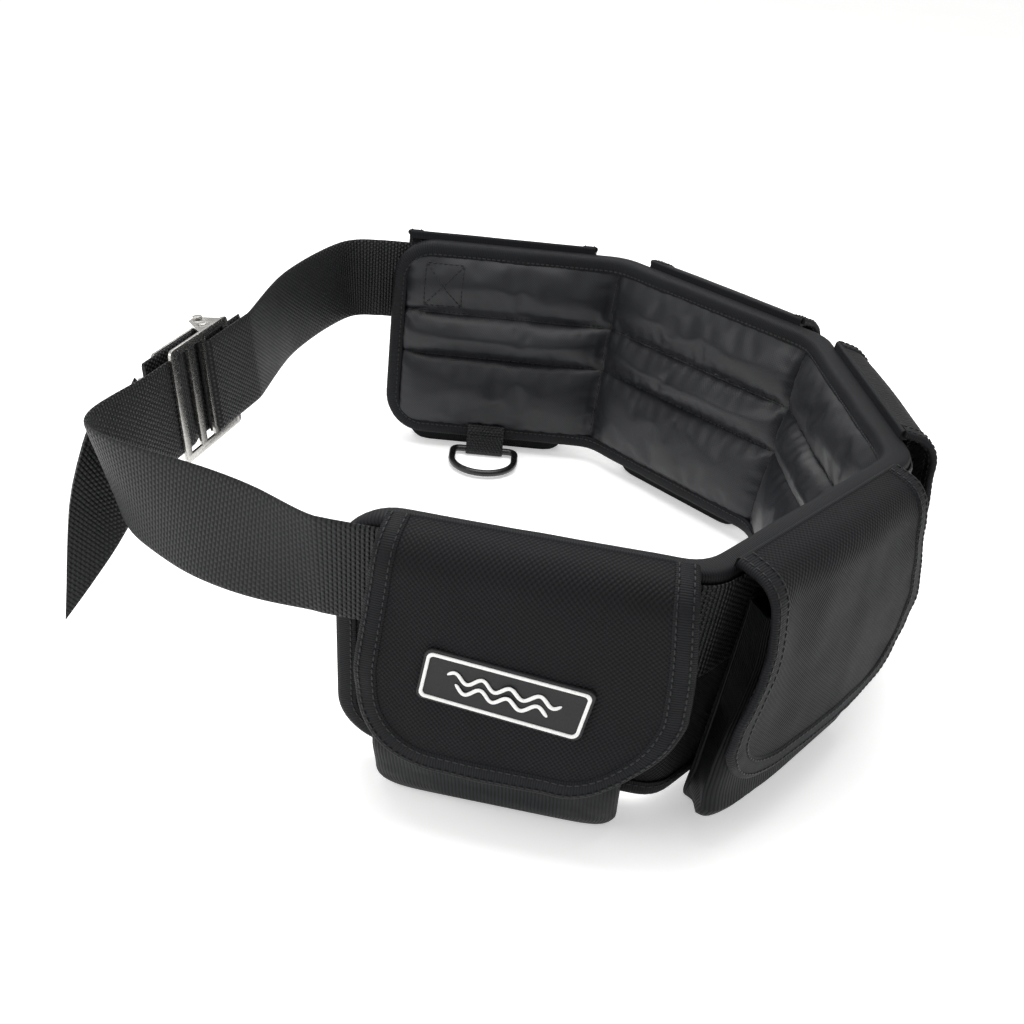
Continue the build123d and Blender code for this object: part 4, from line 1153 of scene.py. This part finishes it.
class BELT_OT_ring(bpy.types.Operator):
    """Coated D-ring and the webbing loop that holds it under the pad"""

    bl_idname = "belt.ring"
    bl_label = "D-ring"

    def execute(self, context):
        depth = -(WIRE_RADIUS + 2.8)
        bar_n, bar_z = depth + 3.85 * LEAN, 3.85
        half, leg, small = 21.0, 15.0, 4.5
        arc = np.linspace(0, pi, 40)
        turn = np.linspace(0, pi / 2, 8)
        bar = half - small
        x = np.r_[np.linspace(-bar, bar, 20), bar + small * np.sin(turn[1:]), np.full(5, half),
                  half * np.cos(arc), np.full(5, -half), -bar - small * np.cos(turn[:-1])]
        y = np.r_[np.zeros(20), small - small * np.cos(turn[1:]), np.linspace(small, leg, 7)[1:-1],
                  leg + half * np.sin(arc), np.linspace(leg, small, 7)[1:-1],
                  small - small * np.sin(turn[:-1])]
        flat = np.stack([x, y], -1)
        way = unit(np.roll(flat, -1, 0) - np.roll(flat, 1, 0))
        side = np.stack([way[:, 1], -way[:, 0]], -1)
        circle = np.arange(16) * 2 * pi / 16
        wire = flat[:, None] + side[:, None] * (WIRE_RADIUS * np.cos(circle))[None, :, None]
        rings = place(4, wire[..., 0], bar_n - wire[..., 1], bar_z + WIRE_RADIUS * np.sin(circle))
        made = loft("coated_ring", rings, ring_uv(rings), loop=True, sharp=80.0)
        settle(made, "ring", "ring_black", coated_wire(), "d_ring")

        def leaned(level, height):
            return (level + height * LEAN, height)

        angles = np.radians(np.array([35, 0, -40, -80, -120, -160, -200]))
        route = [leaned(-1.9, 22), leaned(-1.9, 20), leaned(-1.9, 16), leaned(-1.9, 11)]
        route += [(bar_n + 3.12 * cos(a), bar_z + 3.12 * sin(a)) for a in angles]
        route += [leaned(-3.1, 11), leaned(-3.1, 16), leaned(-3.1, 20), leaned(-3.1, 22)]
        line = curve_through(route, 8)
        normal = -ring_normal(line)[1]
        across = np.r_[-12.5, -12.2, np.linspace(-11, 11, 7), 12.2, 12.5]
        half_thick = 0.52 * np.sqrt(np.maximum(1 - (np.abs(across) / 12.5) ** 24, 0.1))
        sheets = []
        for sign in (1, -1):
            offset = line[:, None] + sign * normal[:, None] * half_thick[None, :, None]
            sheets.append(place(4, across, offset[..., 0], offset[..., 1]))
        uv = np.stack(np.meshgrid(lengths(line), across, indexing="ij"), -1)
        keeper = slab("ring_strap", *sheets, uv)
        settle(keeper, "belt", "webbing", webbing_weave(), "ring_keeper")
        up = place(4, 0.0, -1.0, 0.0) - place(4, 0.0, 0.0, 0.0)
        runs = []
        for a, b in (((-10, 14), (10, 14)), ((10, 18.4), (-10, 18.4))):
            share = np.linspace(0, 1, 8)
            x, z = a[0] + (b[0] - a[0]) * share, a[1] + (b[1] - a[1]) * share
            runs.append((place(4, x, -3.7 + z * LEAN, z), np.repeat(up[None], 8, 0)))
        sew("strap_stitching", runs, "belt", "webbing", pitch=2.6, thick=0.35)
        return {"FINISHED"}


# ---------------------------------------------------------------- stage
def area_light(name, energy, size, spot, target):
    data = bpy.data.lights.new(name, "AREA")
    data.energy, data.size, data.color = energy, size, linear("#ffffff")[:3]
    made = bpy.data.objects.new(name, data)
    made.location = spot
    made.rotation_mode = "QUATERNION"
    made.rotation_quaternion = (Vector(spot) - Vector(target)).to_track_quat("Z", "Y")
    bpy.context.scene.collection.objects.link(made)


CAMERA_SPOT = (0.0004, -0.6551, 0.393)
CAMERA_PITCH, CAMERA_ROLL, CAMERA_LENS = 27.8, 5.7, 46.83


class BELT_OT_stage(bpy.types.Operator):
    """Pale floor, soft lights and the camera"""

    bl_idname = "belt.stage"
    bl_label = "Stage"

    def execute(self, context):
        look = context.scene.belt_looks
        scene = context.scene
        far = 4e3
        corners = [(-far, -far, 0), (far, -far, 0), (far, far, 0), (-far, far, 0)]
        floor = build("pale_floor", corners, [[0, 1, 2, 3]])
        paint, tree = blank("Matte white studio paper")
        # Matte paper lit through from below: an even white with a faint contact shade.
        where = node(tree, "ShaderNodeTexCoord")
        tone = node(tree, "ShaderNodeTexNoise", {"Vector": where.outputs["Object"], "Scale": 3.0})
        ramp = node(tree, "ShaderNodeValToRGB", {0: tone.outputs["Fac"]})
        ramp.color_ramp.elements[0].color = linear("#f4f4f3")
        ramp.color_ramp.elements[1].color = linear("#fbfbfa")
        shader = node(tree, "ShaderNodeBsdfPrincipled",
                      {"Base Color": ramp.outputs[0], "Roughness": 0.9, "Specular IOR Level": 0.1,
                       "Emission Color": linear("#ffffff"), "Emission Strength": look.paper_glow})
        node(tree, "ShaderNodeOutputMaterial", {0: shader.outputs[0]})
        floor.data.materials.append(paint)
        world = bpy.data.worlds.new("Soft white room")
        world.use_nodes = True
        world.node_tree.nodes["Background"].inputs[0].default_value = linear("#ffffff")
        world.node_tree.nodes["Background"].inputs[1].default_value = look.room_light
        scene.world = world
        for name, energy, size, spot, target in (
                ("overhead_softbox", 14.0, 1.1, (0.0, 0.15, 1.25), (0, 0.05, 0.08)),
                ("left_softbox", 7.0, 0.8, (-1.1, -0.7, 0.85), (0, 0, 0.1)),
                ("rear_softbox", 4.0, 0.7, (-0.3, 1.2, 1.0), (0.05, 0, 0.1))):
            area_light(name, energy * look.lamp_light, size, spot, target)
        camera = bpy.data.objects.new("camera", bpy.data.cameras.new("camera"))
        scene.collection.objects.link(camera)
        pitch, roll = radians(CAMERA_PITCH), radians(CAMERA_ROLL)
        right, up = Vector((1, 0, 0)), Vector((0, sin(pitch), cos(pitch)))
        forward = Vector((0, cos(pitch), -sin(pitch)))
        axis_x, axis_y = cos(roll) * right + sin(roll) * up, -sin(roll) * right + cos(roll) * up
        camera.matrix_world = Matrix.Translation(CAMERA_SPOT) @ Matrix(
            (axis_x, axis_y, -forward)).transposed().to_4x4()
        camera.data.lens, camera.data.sensor_width = CAMERA_LENS, 36.0
        camera.data.clip_start, camera.data.clip_end = 0.02, 40.0
        scene.camera = camera
        scene.view_settings.view_transform = "Standard"
        scene.view_settings.look = "None"
        return {"FINISHED"}


class BeltSizes(bpy.types.PropertyGroup):
    """Sizes that may be changed, in millimetres"""

    pillow: bpy.props.FloatProperty(
        name="Pillow height", description="How far the lining swells between its seams, in mm",
        default=6.6, min=0, max=9)


class BeltLooks(bpy.types.PropertyGroup):
    """Finish and light that may be changed"""

    nylon_pitch: bpy.props.FloatProperty(
        name="Nylon thread spacing", description="Distance between threads of the flaps, in mm",
        default=1.1, min=0.4, max=4)
    room_light: bpy.props.FloatProperty(
        name="Room light", description="Strength of the even white light all round",
        default=0.62, min=0, max=5)
    paper_glow: bpy.props.FloatProperty(
        name="Paper glow", description="Light that comes through the floor paper",
        default=0.4, min=0, max=2)
    lamp_light: bpy.props.FloatProperty(
        name="Lamp light", description="Share of full power of the soft lamps",
        default=1.0, min=0, max=5, subtype="FACTOR")


OPERATORS = (BELT_OT_lining, BELT_OT_shell, BELT_OT_edge_tape, BELT_OT_webbing, BELT_OT_tail,
             BELT_OT_pockets, BELT_OT_flaps, BELT_OT_badge, BELT_OT_buckle, BELT_OT_ring,
             BELT_OT_stage)


class BELT_PT_panel(bpy.types.Panel):
    """Sidebar panel with the belt's sizes and its pieces"""

    bl_idname = "BELT_PT_panel"
    bl_label = "Dive weight belt"
    bl_space_type = "VIEW_3D"
    bl_region_type = "UI"
    bl_category = "Belt"

    def draw(self, context):
        for group in (context.scene.belt_sizes, context.scene.belt_looks):
            for key in group.bl_rna.properties.keys():
                if key not in ("rna_type", "name"):
                    self.layout.prop(group, key)
        for operator in OPERATORS:
            self.layout.operator(operator.bl_idname)


CLASSES = (BeltSizes, BeltLooks, *OPERATORS, BELT_PT_panel)


def register():
    for cls in CLASSES:
        bpy.utils.register_class(cls)
    bpy.types.Scene.belt_sizes = bpy.props.PointerProperty(type=BeltSizes)
    bpy.types.Scene.belt_looks = bpy.props.PointerProperty(type=BeltLooks)


def unregister():
    del bpy.types.Scene.belt_looks, bpy.types.Scene.belt_sizes
    for cls in reversed(CLASSES):
        bpy.utils.unregister_class(cls)


def main():
    register()
    for operator in OPERATORS:
        group, name = operator.bl_idname.split(".")
        getattr(getattr(bpy.ops, group), name)()


if __name__ == "__main__":
    main()
